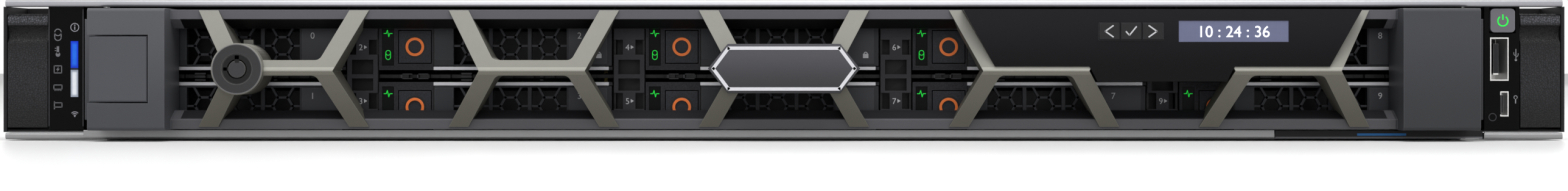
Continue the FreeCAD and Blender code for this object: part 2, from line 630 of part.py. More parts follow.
def panel(name):
    """Glossy block between the ear's latch and the bezel, with the latch's bore."""
    block = box(name + "_block", ("panel_inner", PANEL_FRONT, f"{PANEL_LOW} + 0.7"), ("panel_outer", "-ear_flange", TRIM_TOP))
    bore = rod(
        name + "_bore", "X", ("panel_outer - latch_pin_reach - 0.5", LATCH_Y, LATCH_Z),
        "latch_pin + pin_gap", "latch_pin_reach + 1",
    )
    return block, bore


left_block, left_bore = panel("status")
light_recess = box(
    "light_recess", ("-light_right", f"{PANEL_FRONT} - 1", "light_low"),
    ("-light_left", f"{PANEL_FRONT} + light_depth", "light_high"),
)
node("status_panel", mirrored("status_side", cut("status_cut", left_block, left_bore, light_recess)))
node("status_light", box(
    "light_bar", ("light_left", f"{PANEL_FRONT} - light_proud", "light_low"),
    ("light_right", f"{PANEL_FRONT} + light_depth", "light_high"),
))

right_block, right_bore = panel("io")
POWER_RIGHT = "power_left + power_wide"
POWER_HIGH = "power_low + power_tall"
power_recess = box(
    "power_recess", ("power_left - run_gap", f"{PANEL_FRONT} - 1", "power_low - run_gap"),
    (f"{POWER_RIGHT} + run_gap", f"{PANEL_FRONT} + power_deep + press_travel - power_proud + run_gap", f"{POWER_HIGH} + run_gap"),
)
usb_recess = box(
    "usb_recess", ("usb_left", f"{PANEL_FRONT} - 1", "usb_low"),
    ("usb_left + usb_wide", f"{PANEL_FRONT} + usb_deep", "usb_low + usb_tall"),
)
micro_recess = box(
    "micro_recess", ("micro_left", f"{PANEL_FRONT} - 1", "micro_low"),
    ("micro_left + micro_wide", f"{PANEL_FRONT} + micro_deep", "micro_low + micro_tall"),
)
node("io_panel", cut("io_cut", right_block, right_bore, power_recess, usb_recess, micro_recess))


def port_shell(name, left, wide, low, tall, deep):
    """Folded metal shell of a port with its tongue."""
    outer = box(name + "_outer", (left, f"{PANEL_FRONT} - 0.2", low), (f"{left} + {wide}", f"{PANEL_FRONT} + {deep}", f"{low} + {tall}"))
    inner = box(
        name + "_inner", (f"{left} + shell_metal", f"{PANEL_FRONT} - 1", f"{low} + shell_metal"),
        (f"{left} + {wide} - shell_metal", f"{PANEL_FRONT} + {deep} - shell_metal", f"{low} + {tall} - shell_metal"),
    )
    tongue = box(
        name + "_tongue", (f"{left} + {wide}*0.22", f"{PANEL_FRONT} + 0.8", f"{low} + {tall}*0.14"),
        (f"{left} + {wide}*0.5", f"{PANEL_FRONT} + {deep} - shell_metal", f"{low} + {tall}*0.86"),
    )
    return fuse(name, cut(name + "_folded", outer, inner), tongue)


node("front_ports", group(
    "port_shells",
    port_shell("usb_shell", "usb_left", "usb_wide", "usb_low", "usb_tall", "usb_deep"),
    port_shell("micro_shell", "micro_left", "micro_wide", "micro_low", "micro_tall", "micro_deep"),
))


def corner_rounds(name, block, radius, axis):
    """Block with its four edges along an axis rounded."""
    return fillet(name, block, radius, lambda middle, way: abs(way.dot(LETTERS[axis])) > 0.99)


power_block = box(
    "power_block", ("power_left", f"{PANEL_FRONT} - power_proud", "power_low"),
    (POWER_RIGHT, f"{PANEL_FRONT} - power_proud + power_deep", POWER_HIGH),
)
node("power_button", corner_rounds("power_cap", power_block, "1.2", "Y"))

# --------------------------------------------------------------- ear latches
def latch(name):
    """Right ear's flap: rolled upper edge on pins, finger groove, flat plate."""
    roll = rod(name + "_roll", "X", (LATCH_IN, LATCH_Y, LATCH_Z), "latch_roll", f"{LATCH_OUT} - {LATCH_IN}")
    plate = box(
        name + "_plate", (LATCH_IN, PANEL_FRONT, "latch_low"),
        (LATCH_OUT, f"{PANEL_FRONT} + latch_plate", LATCH_Z),
    )
    groove = rod(
        name + "_groove", "X",
        (f"{LATCH_IN} - 1", f"{PANEL_FRONT} - latch_dish + latch_plate*0.6", f"{LATCH_Z} - latch_roll*0.7 - latch_dish"),
        "latch_dish", f"{LATCH_OUT} - {LATCH_IN} + 2",
    )
    pin = bar(
        name + "_pin", "X", (f"{LATCH_IN} - latch_pin_reach - run_gap", LATCH_Y, LATCH_Z),
        "latch_pin", f"{LATCH_OUT} - {LATCH_IN} + 2*latch_pin_reach + 2*run_gap", 12,
    )
    return fuse(name, cut(name + "_grooved", plate, groove), roll, pin)


latch_right = node("latch_right", latch("right_flap"))
node("latch_left", mirrored("left_flap", latch_right))

# ----------------------------------------------------------- information tag
tag_lip = box(
    "tag_lip", ("tag_left", "-lip_reach - trim_depth + 0.6", "0.2"), ("tag_right", "-lip_reach - run_gap", "tag_high"),
)
BLADE_LOW = "(sheet_metal + run_gap)"
tag_blade = box(
    "tag_blade_sheet", ("tag_left + 5", "-lip_reach - run_gap", BLADE_LOW),
    ("bay_first + 4*bay_pitch + carrier_wide - run_gap", "tag_reach", f"{BLADE_LOW} + tag_blade"),
)
node("info_tag", fuse("tag", tag_lip, tag_blade))

# --------------------------------------------------------------- bezel frame
strip_top = prism(
    "strip_top", "X",
    (
        ("-strip_front", "bezel_high - strip_edge"), ("-strip_front", "bezel_high - strip_edge - strip_tall"),
        ("-strip_step", "bezel_high - strip_edge - strip_tall - strip_slope"),
        ("-bezel_back", "bezel_high - strip_edge - strip_tall - strip_slope"),
        ("-bezel_back", "bezel_high - strip_edge"),
    ),
    "-opening_half", "opening_half",
)
strip_foot = prism(
    "strip_foot", "X",
    (
        ("-strip_front", "bezel_low + strip_edge"), ("-strip_front", "bezel_low + strip_edge + strip_tall"),
        ("-strip_step", "bezel_low + strip_edge + strip_tall + strip_slope"),
        ("-bezel_back", "bezel_low + strip_edge + strip_tall + strip_slope"),
        ("-bezel_back", "bezel_low + strip_edge"),
    ),
    "-opening_half", "opening_half",
)


def end_cap(name, left, right):
    """Solid end of the bezel with rounded front edges."""
    block = box(name + "_block", (left, "-bezel_front", "bezel_low"), (right, "-bezel_back", "bezel_high"))
    front = -amount("bezel_front")
    return fillet(
        name, block, "cap_round",
        lambda middle, way: abs(middle.y - front) < 0.01 and abs(way.x) > 0.99,
    )


WING_OUT = "(panel_inner - run_gap)"
WING_BACK = "(-lip_reach - run_gap)"


def wing(name):
    """Right side wing that fills the space to the ear, with its locating pegs."""
    plate = box(
        name + "_plate", ("bezel_half - 1", "-front_reach", f"{BEZEL_MID} - wing_height/2"),
        (WING_OUT, WING_BACK, f"{BEZEL_MID} + wing_height/2"),
    )
    pegs = [
        box(
            f"{name}_peg_{side}", (f"{PEG_X} - peg", WING_BACK, f"{BEZEL_MID} {sign} peg_rise - peg"),
            (f"{PEG_X} + peg", f"{WING_BACK} + peg_length", f"{BEZEL_MID} {sign} peg_rise + peg"),
        )
        for side, sign in (("low", "-"), ("high", "+"))
    ]
    return fuse(name, plate, *pegs)


RELEASE_LOW = "(lock_z - release_tall/2)"
RELEASE_HIGH = "(lock_z + release_tall/2)"
RELEASE_BACK = "(-bezel_front + release_deep)"
release_recess = box(
    "release_recess", ("-bezel_half - 1", "-bezel_front - 1", f"{RELEASE_LOW} - run_gap"),
    ("release_right + run_gap", f"{RELEASE_BACK} + release_travel + run_gap", f"{RELEASE_HIGH} + run_gap"),
)
right_wing = wing("right_wing")
frame_body = fuse(
    "frame_body", strip_top, strip_foot, end_cap("left_cap", "-bezel_half", "-opening_half"),
    end_cap("right_cap", "opening_half", "bezel_half"), right_wing, mirrored("left_wing", right_wing),
)
node("bezel_frame", cut("bezel_cut", frame_body, release_recess))

release_block = box(
    "release_block", ("-bezel_half + run_gap", "-bezel_front + 0.2", RELEASE_LOW), ("release_right", RELEASE_BACK, RELEASE_HIGH),
)
node("release_button", fillet(
    "release_cap", release_block, "0.6",
    lambda middle, way: middle.y < amount("-bezel_front") + 0.3 and abs(way.y) < 0.1,
))

# -------------------------------------------------------------- bezel lattice
LEAN_TOP = "((arm_half - waist_half)/(arm_top - ridge_high))"
LEAN_FOOT = "((arm_half - waist_half)/(ridge_high - arm_foot))"
INNER_TOP = f"(arm_half - arm_wide - (arm_top - bar_high)*{LEAN_TOP})"
INNER_FOOT = f"(arm_half - arm_wide - (bar_low - arm_foot)*{LEAN_FOOT})"
lattice_section = prism(
    "lattice_section", "X",
    (
        ("-bezel_front", "ridge_high"), ("-lattice_edge", "bezel_high - strip_edge"),
        ("-lattice_back", "bezel_high - strip_edge"), ("-lattice_back", "bezel_low + strip_edge"),
        ("-lattice_edge", "bezel_low + strip_edge"),
    ),
    "-opening_half", "opening_half",
)


def strut(number, middle):
    """One crossed strut: two arms up, two arms down, joined by a filleted bar."""
    half = (
        ("arm_half", "arm_top"), ("waist_half", "ridge_high"), ("arm_half", "arm_foot"),
        ("arm_half - arm_wide", "arm_foot"), (INNER_FOOT, "bar_low"),
    )
    upper = ((INNER_TOP, "bar_high"), ("arm_half - arm_wide", "arm_top"))
    right = [(f"{middle} + {x}", z) for x, z in half]
    left = [(f"{middle} - {x}", z) for x, z in reversed(half)]
    top_left = [(f"{middle} - {x}", z) for x, z in reversed(upper)]
    top_right = [(f"{middle} + {x}", z) for x, z in upper]
    outline = prism(
        f"strut_{number}_face", "Y",
        (*right, *left, *top_left, *top_right),
        "-bezel_front", "-lattice_back",
    )
    ends = (amount("bar_low"), amount("bar_high"))
    return fillet(
        f"strut_{number}", outline, "bar_fillet",
        lambda spot, way: abs(way.y) > 0.99 and min(abs(spot.z - end) for end in ends) < 0.01,
    )


struts = [strut(number, f"{number - 3}*lattice_pitch") for number in range(1, 6)]
lcd_body = prism(
    "lcd_body", "Y",
    (
        ("lcd_top_left", "lcd_high"), ("lcd_left", "lcd_low"), ("lip_left", "lcd_low"),
        ("lip_left + lip_taper", "lip_low"), ("lip_right - lip_taper", "lip_low"), ("lip_right", "lcd_low"),
        ("lcd_right", "lcd_low"), ("lcd_top_right", "lcd_high"),
    ),
    "-bezel_front", "-lattice_back",
)
LOCK_FRONT = "(-bezel_front - lock_proud)"
LOCK_BACK = "(-lattice_back + run_gap)"
LOCK_LONG = f"({LOCK_BACK} - {LOCK_FRONT})"
lock_hub = rod(
    "lock_hub", "Y", ("lock_x", f"{LOCK_FRONT} + lock_flange", "lock_z"), "lock_ring",
    f"-lattice_back - {LOCK_FRONT} - lock_flange",
)
lock_space = fuse(
    "lock_space", rod("flange_space", "Y", ("lock_x", LOCK_FRONT, "lock_z"), "lock_ring", "lock_flange"),
    rod("barrel_space", "Y", ("lock_x", LOCK_FRONT, "lock_z"), "lock_barrel", f"{LOCK_LONG} + 1"),
)
lattice_raw = fuse("lattice_raw", overlap("lattice_faces", group("strut_row", *struts), lattice_section), lock_hub)
node("bezel_lattice", cut("lattice_cut", lattice_raw, strip_top, strip_foot, lcd_body, lock_space))

plaque = prism(
    "plaque", "Y",
    (
        ("-plaque_half", "(plaque_low + plaque_high)/2"), ("-plaque_flat", "plaque_low"), ("plaque_flat", "plaque_low"),
        ("plaque_half", "(plaque_low + plaque_high)/2"), ("plaque_flat", "plaque_high"), ("-plaque_flat", "plaque_high"),
    ),
    "-bezel_front - plaque_proud", "-bezel_front - plaque_proud + plaque_deep",
)
node("bezel_badge", cut("plaque_cut", plaque, lattice_raw))

# ----------------------------------------------------------------------- lock
lock_solid = fuse(
    "lock_solid", rod("lock_flange_disc", "Y", ("lock_x", LOCK_FRONT, "lock_z"), "lock_ring", "lock_flange"),
    rod("lock_barrel_rod", "Y", ("lock_x", LOCK_FRONT, "lock_z"), "lock_barrel", LOCK_LONG),
)
lock_bore = rod("lock_bore", "Y", ("lock_x", f"{LOCK_FRONT} - 1", "lock_z"), "core_radius + pin_gap", f"{LOCK_LONG} + 2")
node("lock_body", cut("lock_tube", lock_solid, lock_bore))
core_rod = rod(
    "core_rod", "Y", ("lock_x", f"{LOCK_FRONT} + run_gap", "lock_z"), "core_radius", f"{LOCK_LONG} + cam_thick",
)
key_ring = cut(
    "key_ring", rod("key_ring_out", "Y", ("lock_x", f"{LOCK_FRONT} - 1", "lock_z"), "key_outer", "key_deep + 1"),
    rod("key_ring_in", "Y", ("lock_x", f"{LOCK_FRONT} - 2", "lock_z"), "key_inner", "key_deep + 3"),
)
key_slot = box(
    "key_slot", ("lock_x - key_notch/2", f"{LOCK_FRONT} - 1", "lock_z + key_inner - 0.6"),
    ("lock_x + key_notch/2", f"{LOCK_FRONT} + key_deep", "lock_z + key_outer + 0.6"),
)
cam = box(
    "lock_cam", ("lock_x - 1.5", f"{LOCK_BACK} + run_gap", "lock_z - 3.5"),
    ("lock_x + 1.5", f"{LOCK_BACK} + run_gap + cam_thick", "lock_z + cam_reach"),
)
node("lock_core", fuse("lock_plug", cut("core_cut", core_rod, key_ring, key_slot), cam))

# ---------------------------------------------------------------- LCD module
KEY_LAST = "(key_first + 2*key_pitch)"
keys_slot = box(
    "keys_slot",
    ("key_first - key_wide/2 - run_gap", "-bezel_front - 1", "key_mid - key_tall/2 - run_gap"),
    (f"{KEY_LAST} + key_wide/2 + run_gap", "-bezel_front - key_proud + key_thick + press_travel + run_gap",
     "key_mid + key_tall/2 + run_gap"),
)
screen_recess = box(
    "screen_recess", ("screen_left", "-bezel_front - 1", "screen_low"),
    ("screen_right", "-bezel_front + screen_set + screen_deep", "screen_high"),
)
lcd_clear = cut("lcd_clear", lcd_body, strip_top, keys_slot, screen_recess)
node("lcd_housing", lcd_clear)
node("lcd_screen", box(
    "screen_glass", ("screen_left", "-bezel_front + screen_set", "screen_low"),
    ("screen_right", "-bezel_front + screen_set + screen_deep", "screen_high"),
))
for number, name in enumerate(("lcd_left_button", "lcd_select_button", "lcd_right_button")):
    middle = f"(key_first + {number}*key_pitch)"
    block = box(
        name + "_block", (f"{middle} - key_wide/2", "-bezel_front - key_proud", "key_mid - key_tall/2"),
        (f"{middle} + key_wide/2", "-bezel_front - key_proud + key_thick", "key_mid + key_tall/2"),
    )
    node(name, block)

# ----------------------------------------------------------------- drive cage
COLUMNS = 5
CARRIER_GAP = "(bay_pitch - carrier_wide)"
SHEET_OFF = f"({CARRIER_GAP}/2 - run_gap - cage_metal)"
CAGE_HIGH = WALL_TOP
FLOOR_TOP = "sheet_metal"


def between(column):
    """Middle of the space left of a column of carriers."""
    return f"(bay_first - {CARRIER_GAP}/2 + {column}*bay_pitch)"


def sheet_wall(name, left):
    """Upright sheet of the drive cage."""
    return box(name, (left, "-cage_front", FLOOR_TOP), (f"{left} + cage_metal", "backplane_front", CAGE_HIGH))


cage_parts = [sheet_wall("cage_first", f"{between(0)} + {SHEET_OFF}"), sheet_wall("cage_last", f"{between(COLUMNS)} - {SHEET_OFF} - cage_metal")]
for column in range(1, COLUMNS):
    for side, shift in (("left", f"- {SHEET_OFF} - cage_metal"), ("right", f"+ {SHEET_OFF}")):
        cage_parts.append(sheet_wall(f"cage_{side}_{column}", f"{between(column)} {shift}"))
    cage_parts.append(box(
        f"cage_web_{column}", (f"{between(column)} - {SHEET_OFF}", "-cage_front + 4", FLOOR_TOP),
        (f"{between(column)} + {SHEET_OFF}", "-cage_front + 4 + cage_metal", CAGE_HIGH),
    ))
for column in range(COLUMNS):
    shelf = box(
        f"shelf_{column}", (f"{between(column)} + {SHEET_OFF}", "-cage_front + finger_deep", "shelf_low"),
        (f"{between(column + 1)} - {SHEET_OFF}", "backplane_front", "shelf_low + sheet_metal"),
    )
    cage_parts.append(shelf)
finger_count = int(amount("carrier_wide - 6") // amount("finger_pitch"))
finger = box(
    "finger", ("bay_first + 6", "-cage_front", "shelf_low"),
    ("bay_first + 6 + finger_wide", "-cage_front + finger_deep", "shelf_low + sheet_metal"),
)
fingers = repeat("fingers", finger, [
    (amount(f"{column}*bay_pitch + {number}*finger_pitch"), 0, 0)
    for column in range(COLUMNS) for number in range(finger_count)
])
filler = box(
    "cage_filler", (f"{between(COLUMNS)} - {SHEET_OFF}", "-cage_front", FLOOR_TOP),
    ("post_inner - run_gap", "-cage_front + cage_metal", CAGE_HIGH),
)
node("drive_cage", fuse("cage", *cage_parts, fingers, filler))

# Number plates: a broad frame with two openings, narrow necks above and below
ROW_HIGH = "(bay_low + bay_rise)"
plate_half = "plate_wide/2"
neck_half = "plate_neck/2"
PLATE_STEPS = (
    ("1.8", plate_half), ("bay_low + 6.6", plate_half), ("bay_low + 6.6", neck_half), ("bay_low + 11.6", neck_half),
    ("bay_low + 11.6", plate_half), (f"{ROW_HIGH} + 4.8", plate_half), (f"{ROW_HIGH} + 4.8", neck_half),
    (f"{ROW_HIGH} + 9.4", neck_half), (f"{ROW_HIGH} + 9.4", plate_half), (f"{CAGE_HIGH} - 2", plate_half),
)
plate_middle = between(1)
plate_face = prism(
    "plate_face", "Y",
    (
        *((f"{plate_middle} + {x}", z) for z, x in PLATE_STEPS),
        *((f"{plate_middle} - {x}", z) for z, x in reversed(PLATE_STEPS)),
    ),
    "-cage_front - plate_thick", "-cage_front",
)
plate_holes = [
    box(
        f"plate_hole_{number}", (f"{plate_middle} - plate_hole/2", "-cage_front - plate_thick - 1", low),
        (f"{plate_middle} + plate_hole/2", "1 - cage_front", high),
    )
    for number, (low, high) in enumerate((
        ("bay_low + 12.3", "bay_low + 16.1"), (f"{ROW_HIGH} - 1.3", f"{ROW_HIGH} + 3.2"),
    ))
]
plate_cut = cut("plate_with_holes", plate_face, *plate_holes)
node("bay_number_plates", repeat(
    "number_plates", plate_cut, [(amount(f"{column}*bay_pitch"), 0, 0) for column in range(COLUMNS - 1)],
))

# ------------------------------------------------------------- drive carriers
def at(distance):
    """Place across the first carrier, from its left edge."""
    return f"(bay_first + {distance})"


CARRIER_FRONT = "-carrier_front"
CARRIER_BACK = "(-carrier_front + carrier_block)"
EJECT_Z = "(bay_low + carrier_tall - eject_drop)"
BAYS = [
    (amount(f"{column}*bay_pitch"), 0, amount(f"{row}*bay_rise")) for column in range(COLUMNS) for row in (1, 0)
]
carrier_block = box("carrier_face", (at("0"), CARRIER_FRONT, "bay_low"), (at("block_wide"), CARRIER_BACK, "bay_low + carrier_tall"))
eject_recess = box(
    "eject_recess", (at("eject_mid - eject_wide/2 - run_gap"), f"{CARRIER_FRONT} - 1", f"{EJECT_Z} - eject_wide/2 - run_gap"),
    (at("eject_mid + eject_wide/2 + run_gap"), f"{CARRIER_FRONT} + eject_deep + press_travel + run_gap",
     f"{EJECT_Z} + eject_wide/2 + run_gap"),
)
light_window = box(
    "light_window", (at("light_slot_left"), f"{CARRIER_FRONT} - 1", "bay_low + light_slot_edge"),
    (at("light_slot_left + light_slot"), f"{CARRIER_FRONT} + light_slot_deep", "bay_low + carrier_tall - light_slot_edge"),
)
STRIP_RIGHT = at("carrier_wide")
strip_low = box(
    "carrier_strip_low", (at("block_wide"), f"{CARRIER_FRONT} + 0.3", "bay_low"),
    (STRIP_RIGHT, CARRIER_BACK, "bay_low + strip_thick"),
)
strip_high = box(
    "carrier_strip_high", (at("block_wide"), f"{CARRIER_FRONT} + 0.3", "bay_low + carrier_tall - strip_thick"),
    (STRIP_RIGHT, CARRIER_BACK, "bay_low + carrier_tall"),
)
rail_left = box(
    "carrier_rail_left", (at("0"), f"{CARRIER_BACK} - 1", "bay_low + carrier_tall/2 - rail_tall/2"),
    (at("rail_thick"), "rail_end", "bay_low + carrier_tall/2 + rail_tall/2"),
)
rail_right = box(
    "carrier_rail_right", (at("carrier_wide - rail_thick"), f"{CARRIER_BACK} - 3", "bay_low"),
    (STRIP_RIGHT, "rail_end", "bay_low + carrier_tall"),
)
end_post = box(
    "carrier_end", (at("carrier_wide - rail_thick"), f"{CARRIER_BACK} - 3", "bay_low"),
    (STRIP_RIGHT, CARRIER_BACK, "bay_low + carrier_tall"),
)
carrier = cut(
    "carrier", fuse("carrier_body", carrier_block, strip_low, strip_high, rail_left, rail_right, end_post),
    eject_recess, light_window,
)
node("drive_carriers", repeat("carriers", carrier, BAYS))

DRIVE_LEFT = "(carrier_wide/2 - drive_wide/2)"
DRIVE_LOW = "(bay_low + carrier_tall/2 - drive_tall/2)"
drive = box(
    "drive", (at(DRIVE_LEFT), "-drive_front", DRIVE_LOW),
    (at(f"{DRIVE_LEFT} + drive_wide"), "-drive_front + drive_long", f"{DRIVE_LOW} + drive_tall"),
)
node("disk_drives", repeat("drives", drive, BAYS))

# Handles: honeycomb windows between a grey tab and a plain label panel
HANDLE_LOW = "(bay_low + strip_thick + 0.2)"
HANDLE_HIGH = "(bay_low + carrier_tall - strip_thick - 0.2)"
HANDLE_MID = "(bay_low + carrier_tall/2)"
handle_plate = box(
    "handle_plate_block", (at("handle_left"), CARRIER_FRONT, HANDLE_LOW),
    (at("handle_right"), f"{CARRIER_FRONT} + handle_thick", HANDLE_HIGH),
)
handle_root = box(
    "handle_root", (at("handle_right - 3"), f"{CARRIER_FRONT} + handle_thick", f"{HANDLE_LOW} + 2"),
    (at("handle_right - rail_thick - run_gap"), f"{CARRIER_BACK}", f"{HANDLE_HIGH} - 2"),
)
CELL_PITCH = "(cell + cell_web)"


def hexagon(name, across, middle_z):
    """Honeycomb cell, a point up, through the handle."""
    side = "cell/sqrt(3)"
    corners = (
        (across, f"{middle_z} + {side}"), (f"{across} + cell/2", f"{middle_z} + {side}/2"),
        (f"{across} + cell/2", f"{middle_z} - {side}/2"), (across, f"{middle_z} - {side}"),
        (f"{across} - cell/2", f"{middle_z} - {side}/2"), (f"{across} - cell/2", f"{middle_z} + {side}/2"),
    )
    return prism(name, "Y", corners, f"{CARRIER_FRONT} - 1", f"{CARRIER_FRONT} + handle_thick + 1")


cell_shape = hexagon("cell_hole", at("window_first + window_wide/2"), HANDLE_MID)
row_rise = amount(CELL_PITCH) * math.sqrt(3) / 2
cell_spots = []
for window in range(3):
    for row in (-1, 0, 1):
        for offset in ((0,) if row == 0 else (-0.5, 0.5)):
            cell_spots.append((amount(f"{window}*window_pitch + {offset}*{CELL_PITCH}"), 0, row * row_rise))
cells = repeat("cells", cell_shape, cell_spots)
window_frame = repeat(
    "window_frames",
    box(
        "window_box", (at("window_first"), f"{CARRIER_FRONT} - 1", f"{HANDLE_MID} - window_tall/2"),
        (at("window_first + window_wide"), f"{CARRIER_FRONT} + handle_thick + 1", f"{HANDLE_MID} + window_tall/2"),
    ),
    [(amount(f"{window}*window_pitch"), 0, 0) for window in range(3)],
)
handle = cut(
    "handle", fuse("handle_solid", handle_plate, handle_root), overlap("clipped_cells", cells, window_frame),
)
node("carrier_handles", repeat("handles", handle, BAYS))

dimple = doc.addObject("Part::Prism", "eject_dimple")
dimple.Polygon = 12
dimple.Placement = FreeCAD.Placement(FreeCAD.Vector(), FreeCAD.Rotation(LETTERS["X"], -90))
bind(dimple, Circumradius="eject_dish", Height="1 + eject_dish_deep")
place(dimple, at("eject_mid"), f"{CARRIER_FRONT} - 1", EJECT_Z)
eject = cut(
    "eject",
    box(
        "eject_block", (at("eject_mid - eject_wide/2"), CARRIER_FRONT, f"{EJECT_Z} - eject_wide/2"),
        (at("eject_mid + eject_wide/2"), f"{CARRIER_FRONT} + eject_deep", f"{EJECT_Z} + eject_wide/2"),
    ),
    dimple,
)
for number, bay in enumerate(BAYS):
    node(f"drive_button_{number}", repeat(f"eject_{number}", eject, [bay]))

# ------------------------------------------------------------------ backplane
board = box(
    "backplane_board", (f"{between(0)} + 9.2", "backplane_front", "2"),
    (f"{between(COLUMNS)} + 4.2", "backplane_front + board_thick", "unit_height - 2.8"),
)
plug = box(
    "drive_plug", (at("carrier_wide/2 - 17"), "-drive_front + drive_long + 0.2", f"{DRIVE_LOW} + 1"),
    (at("carrier_wide/2 + 17"), "backplane_front", f"{DRIVE_LOW} + 7"),
)
vent = box(
    "board_vent", (f"{between(1)} - 9", "backplane_front - 1", "8"), (f"{between(1)} + 9", "backplane_front + 4", "34"),
)
vents = repeat("board_vents", vent, [(amount(f"{column}*bay_pitch"), 0, 0) for column in range(4)])
node("backplane", fuse("backplane_body", cut("backplane_cut", board, vents), repeat("drive_plugs", plug, BAYS)))

# ------------------------------------------------------------------------ fans
FANS = 5
DUCT_SIDES = 12
BLADES = 5
FAN_LOW = "sheet_metal"
FAN_Z = f"({FAN_LOW} + fan_size/2)"
FAN_BACK = "(fan_front + fan_long)"
fan_frame = box(
    "fan_frame", ("fan_first - fan_size/2", "fan_front", FAN_LOW), ("fan_first + fan_size/2", FAN_BACK, f"{FAN_LOW} + fan_size"),
)
duct = bar("fan_duct", "Y", ("fan_first", "fan_front - 1", FAN_Z), "fan_bore/cos(180/DUCT_SIDES)".replace("DUCT_SIDES", str(DUCT_SIDES)), "fan_long + 2", DUCT_SIDES)
hub_plate = bar("hub_plate", "Y", ("fan_first", f"{FAN_BACK} - 4", FAN_Z), "fan_hub", "4", 12)
shaft = bar("fan_shaft", "Y", ("fan_first", f"{FAN_BACK} - 4 - (rotor_long - 1)", FAN_Z), "fan_pin", "rotor_long - 1", 12)
spoke_flat = box(
    "spoke_flat", ("fan_first - fan_bore - 0.5", f"{FAN_BACK} - 3", f"{FAN_Z} - 1"),
    ("fan_first + fan_bore + 0.5", f"{FAN_BACK} - 1", f"{FAN_Z} + 1"),
)
spoke_upright = box(
    "spoke_upright", ("fan_first - 1", f"{FAN_BACK} - 3", f"{FAN_Z} - fan_bore - 0.5"),
    ("fan_first + 1", f"{FAN_BACK} - 1", f"{FAN_Z} + fan_bore + 0.5"),
)
fan = fuse("fan", cut("fan_shell", fan_frame, duct), hub_plate, shaft, spoke_flat, spoke_upright)
FAN_SPOTS = [(amount(f"{number}*fan_pitch"), 0, 0) for number in range(FANS)]
wall_blanks = repeat(
    "fan_blanks",
    box(
        "fan_blank", ("fan_first + fan_size/2", "fan_front", FAN_LOW),
        ("fan_first + fan_pitch - fan_size/2", "fan_front + sheet_metal", f"{FAN_LOW} + fan_size"),
    ),
    FAN_SPOTS[:-1],
)
end_blanks = [
    box("fan_blank_left", (f"-{WALL_IN}", "fan_front", FAN_LOW), ("fan_first - fan_size/2", "fan_front + sheet_metal", f"{FAN_LOW} + fan_size")),
    box(
        "fan_blank_right", (f"fan_first + {FANS - 1}*fan_pitch + fan_size/2", "fan_front", FAN_LOW),
        (WALL_IN, "fan_front + sheet_metal", f"{FAN_LOW} + fan_size"),
    ),
]
node("fan_housings", group("fan_row", repeat("fans", fan, FAN_SPOTS), wall_blanks, *end_blanks))

ROTOR_FRONT = f"({FAN_BACK} - 4 - run_gap - rotor_long)"
hub = bar("rotor_hub", "Y", ("fan_first", ROTOR_FRONT, FAN_Z), "fan_hub", "rotor_long", 12)
rotor_bore = rod("rotor_bore", "Y", ("fan_first", f"{ROTOR_FRONT} + 1", FAN_Z), "fan_pin + pin_gap", "rotor_long")
tip = math.sqrt(amount("fan_bore - blade_gap") ** 2 - (amount("blade_chord") / 2) ** 2)
blade = Part.makeBox(amount("blade_chord"), amount("blade_thick"), tip - amount("fan_hub") + 1)
blade.translate(FreeCAD.Vector(-amount("blade_chord") / 2, -amount("blade_thick") / 2, amount("fan_hub") - 1))
blade.rotate(FreeCAD.Vector(), LETTERS["Z"], 90 - amount("blade_angle"))
blades = doc.addObject("Part::Feature", "blades")
turned = []
for number in range(BLADES):
    shape = blade.copy()
    shape.rotate(FreeCAD.Vector(), LETTERS["Y"], 360 / BLADES * number)
    shape.translate(FreeCAD.Vector(amount("fan_first"), amount(ROTOR_FRONT + " + rotor_long/2"), amount(FAN_Z)))
    turned.append(shape)
blades.Shape = Part.makeCompound(turned)
blades.Placement = FreeCAD.Placement()
rotor = fuse("rotor", cut("rotor_core", hub, rotor_bore), blades)
for number, spot in enumerate(FAN_SPOTS, start=1):
    node(f"fan_rotor_{number}", repeat(f"rotor_{number}", rotor, [spot]))

# ------------------------------------------------------- main board and on it
BOARD_LOW = "(sheet_metal + standoff)"
BOARD_TOP = "(sheet_metal + standoff + board_thick)"
main_board = box("main_board", ("-main_half", "main_front", BOARD_LOW), ("main_half", "main_back", BOARD_TOP))
standoffs = repeat(
    "standoffs", bar("standoff_post", "Z", ("-main_half + 8", "main_front + 10", "sheet_metal"), "2.8", "standoff", 6),
    [
        (amount(f"{across}*(main_half - 8)"), amount(f"{along}*(main_back - main_front - 20)/2"), 0)
        for across in (0, 1, 2) for along in (0, 1, 2)
    ],
)
node("motherboard", fuse("board_with_posts", main_board, standoffs))

SINK_LEFT = "(sink_mid - sink_wide/2)"
sink_block = box("sink_block", (SINK_LEFT, "sink_front", BOARD_TOP), (f"{SINK_LEFT} + sink_wide", "sink_front + sink_long", f"{BOARD_TOP} + sink_base"))
fin_total = int(amount("(sink_wide - fin_thick)/fin_pitch")) + 1
fins = repeat(
    "sink_fins",
    box(
        "sink_fin", (SINK_LEFT, "sink_front", f"{BOARD_TOP} + sink_base"),
        (f"{SINK_LEFT} + fin_thick", "sink_front + sink_long", "sink_high"),
    ),
    [(amount(f"{number}*fin_pitch"), 0, 0) for number in range(fin_total)],
)
sink_right = fuse("sink_right", sink_block, fins)
node("heat_sinks", group("sinks", sink_right, mirrored("sink_left", sink_right)))

INNER_FIRST = f"({SINK_LEFT} - memory_pitch*1.2)"
OUTER_FIRST = f"({SINK_LEFT} + sink_wide + memory_pitch*0.7)"
memory_spots = []
for start, way, room in ((INNER_FIRST, -1, INNER_FIRST), (OUTER_FIRST, 1, f"main_half - memory_thick - {OUTER_FIRST}")):
    for number in range(int(amount(f"({room})/memory_pitch")) + 1):
        across = amount(start) + way * number * amount("memory_pitch")
        memory_spots += [(across, 0, 0), (-across - amount("memory_thick"), 0, 0)]
module = box(
    "memory_stick", ("0", "memory_front", BOARD_TOP),
    ("memory_thick", "memory_front + memory_long", "memory_high"),
)
node("memory_modules", repeat("memory_row", module, memory_spots))

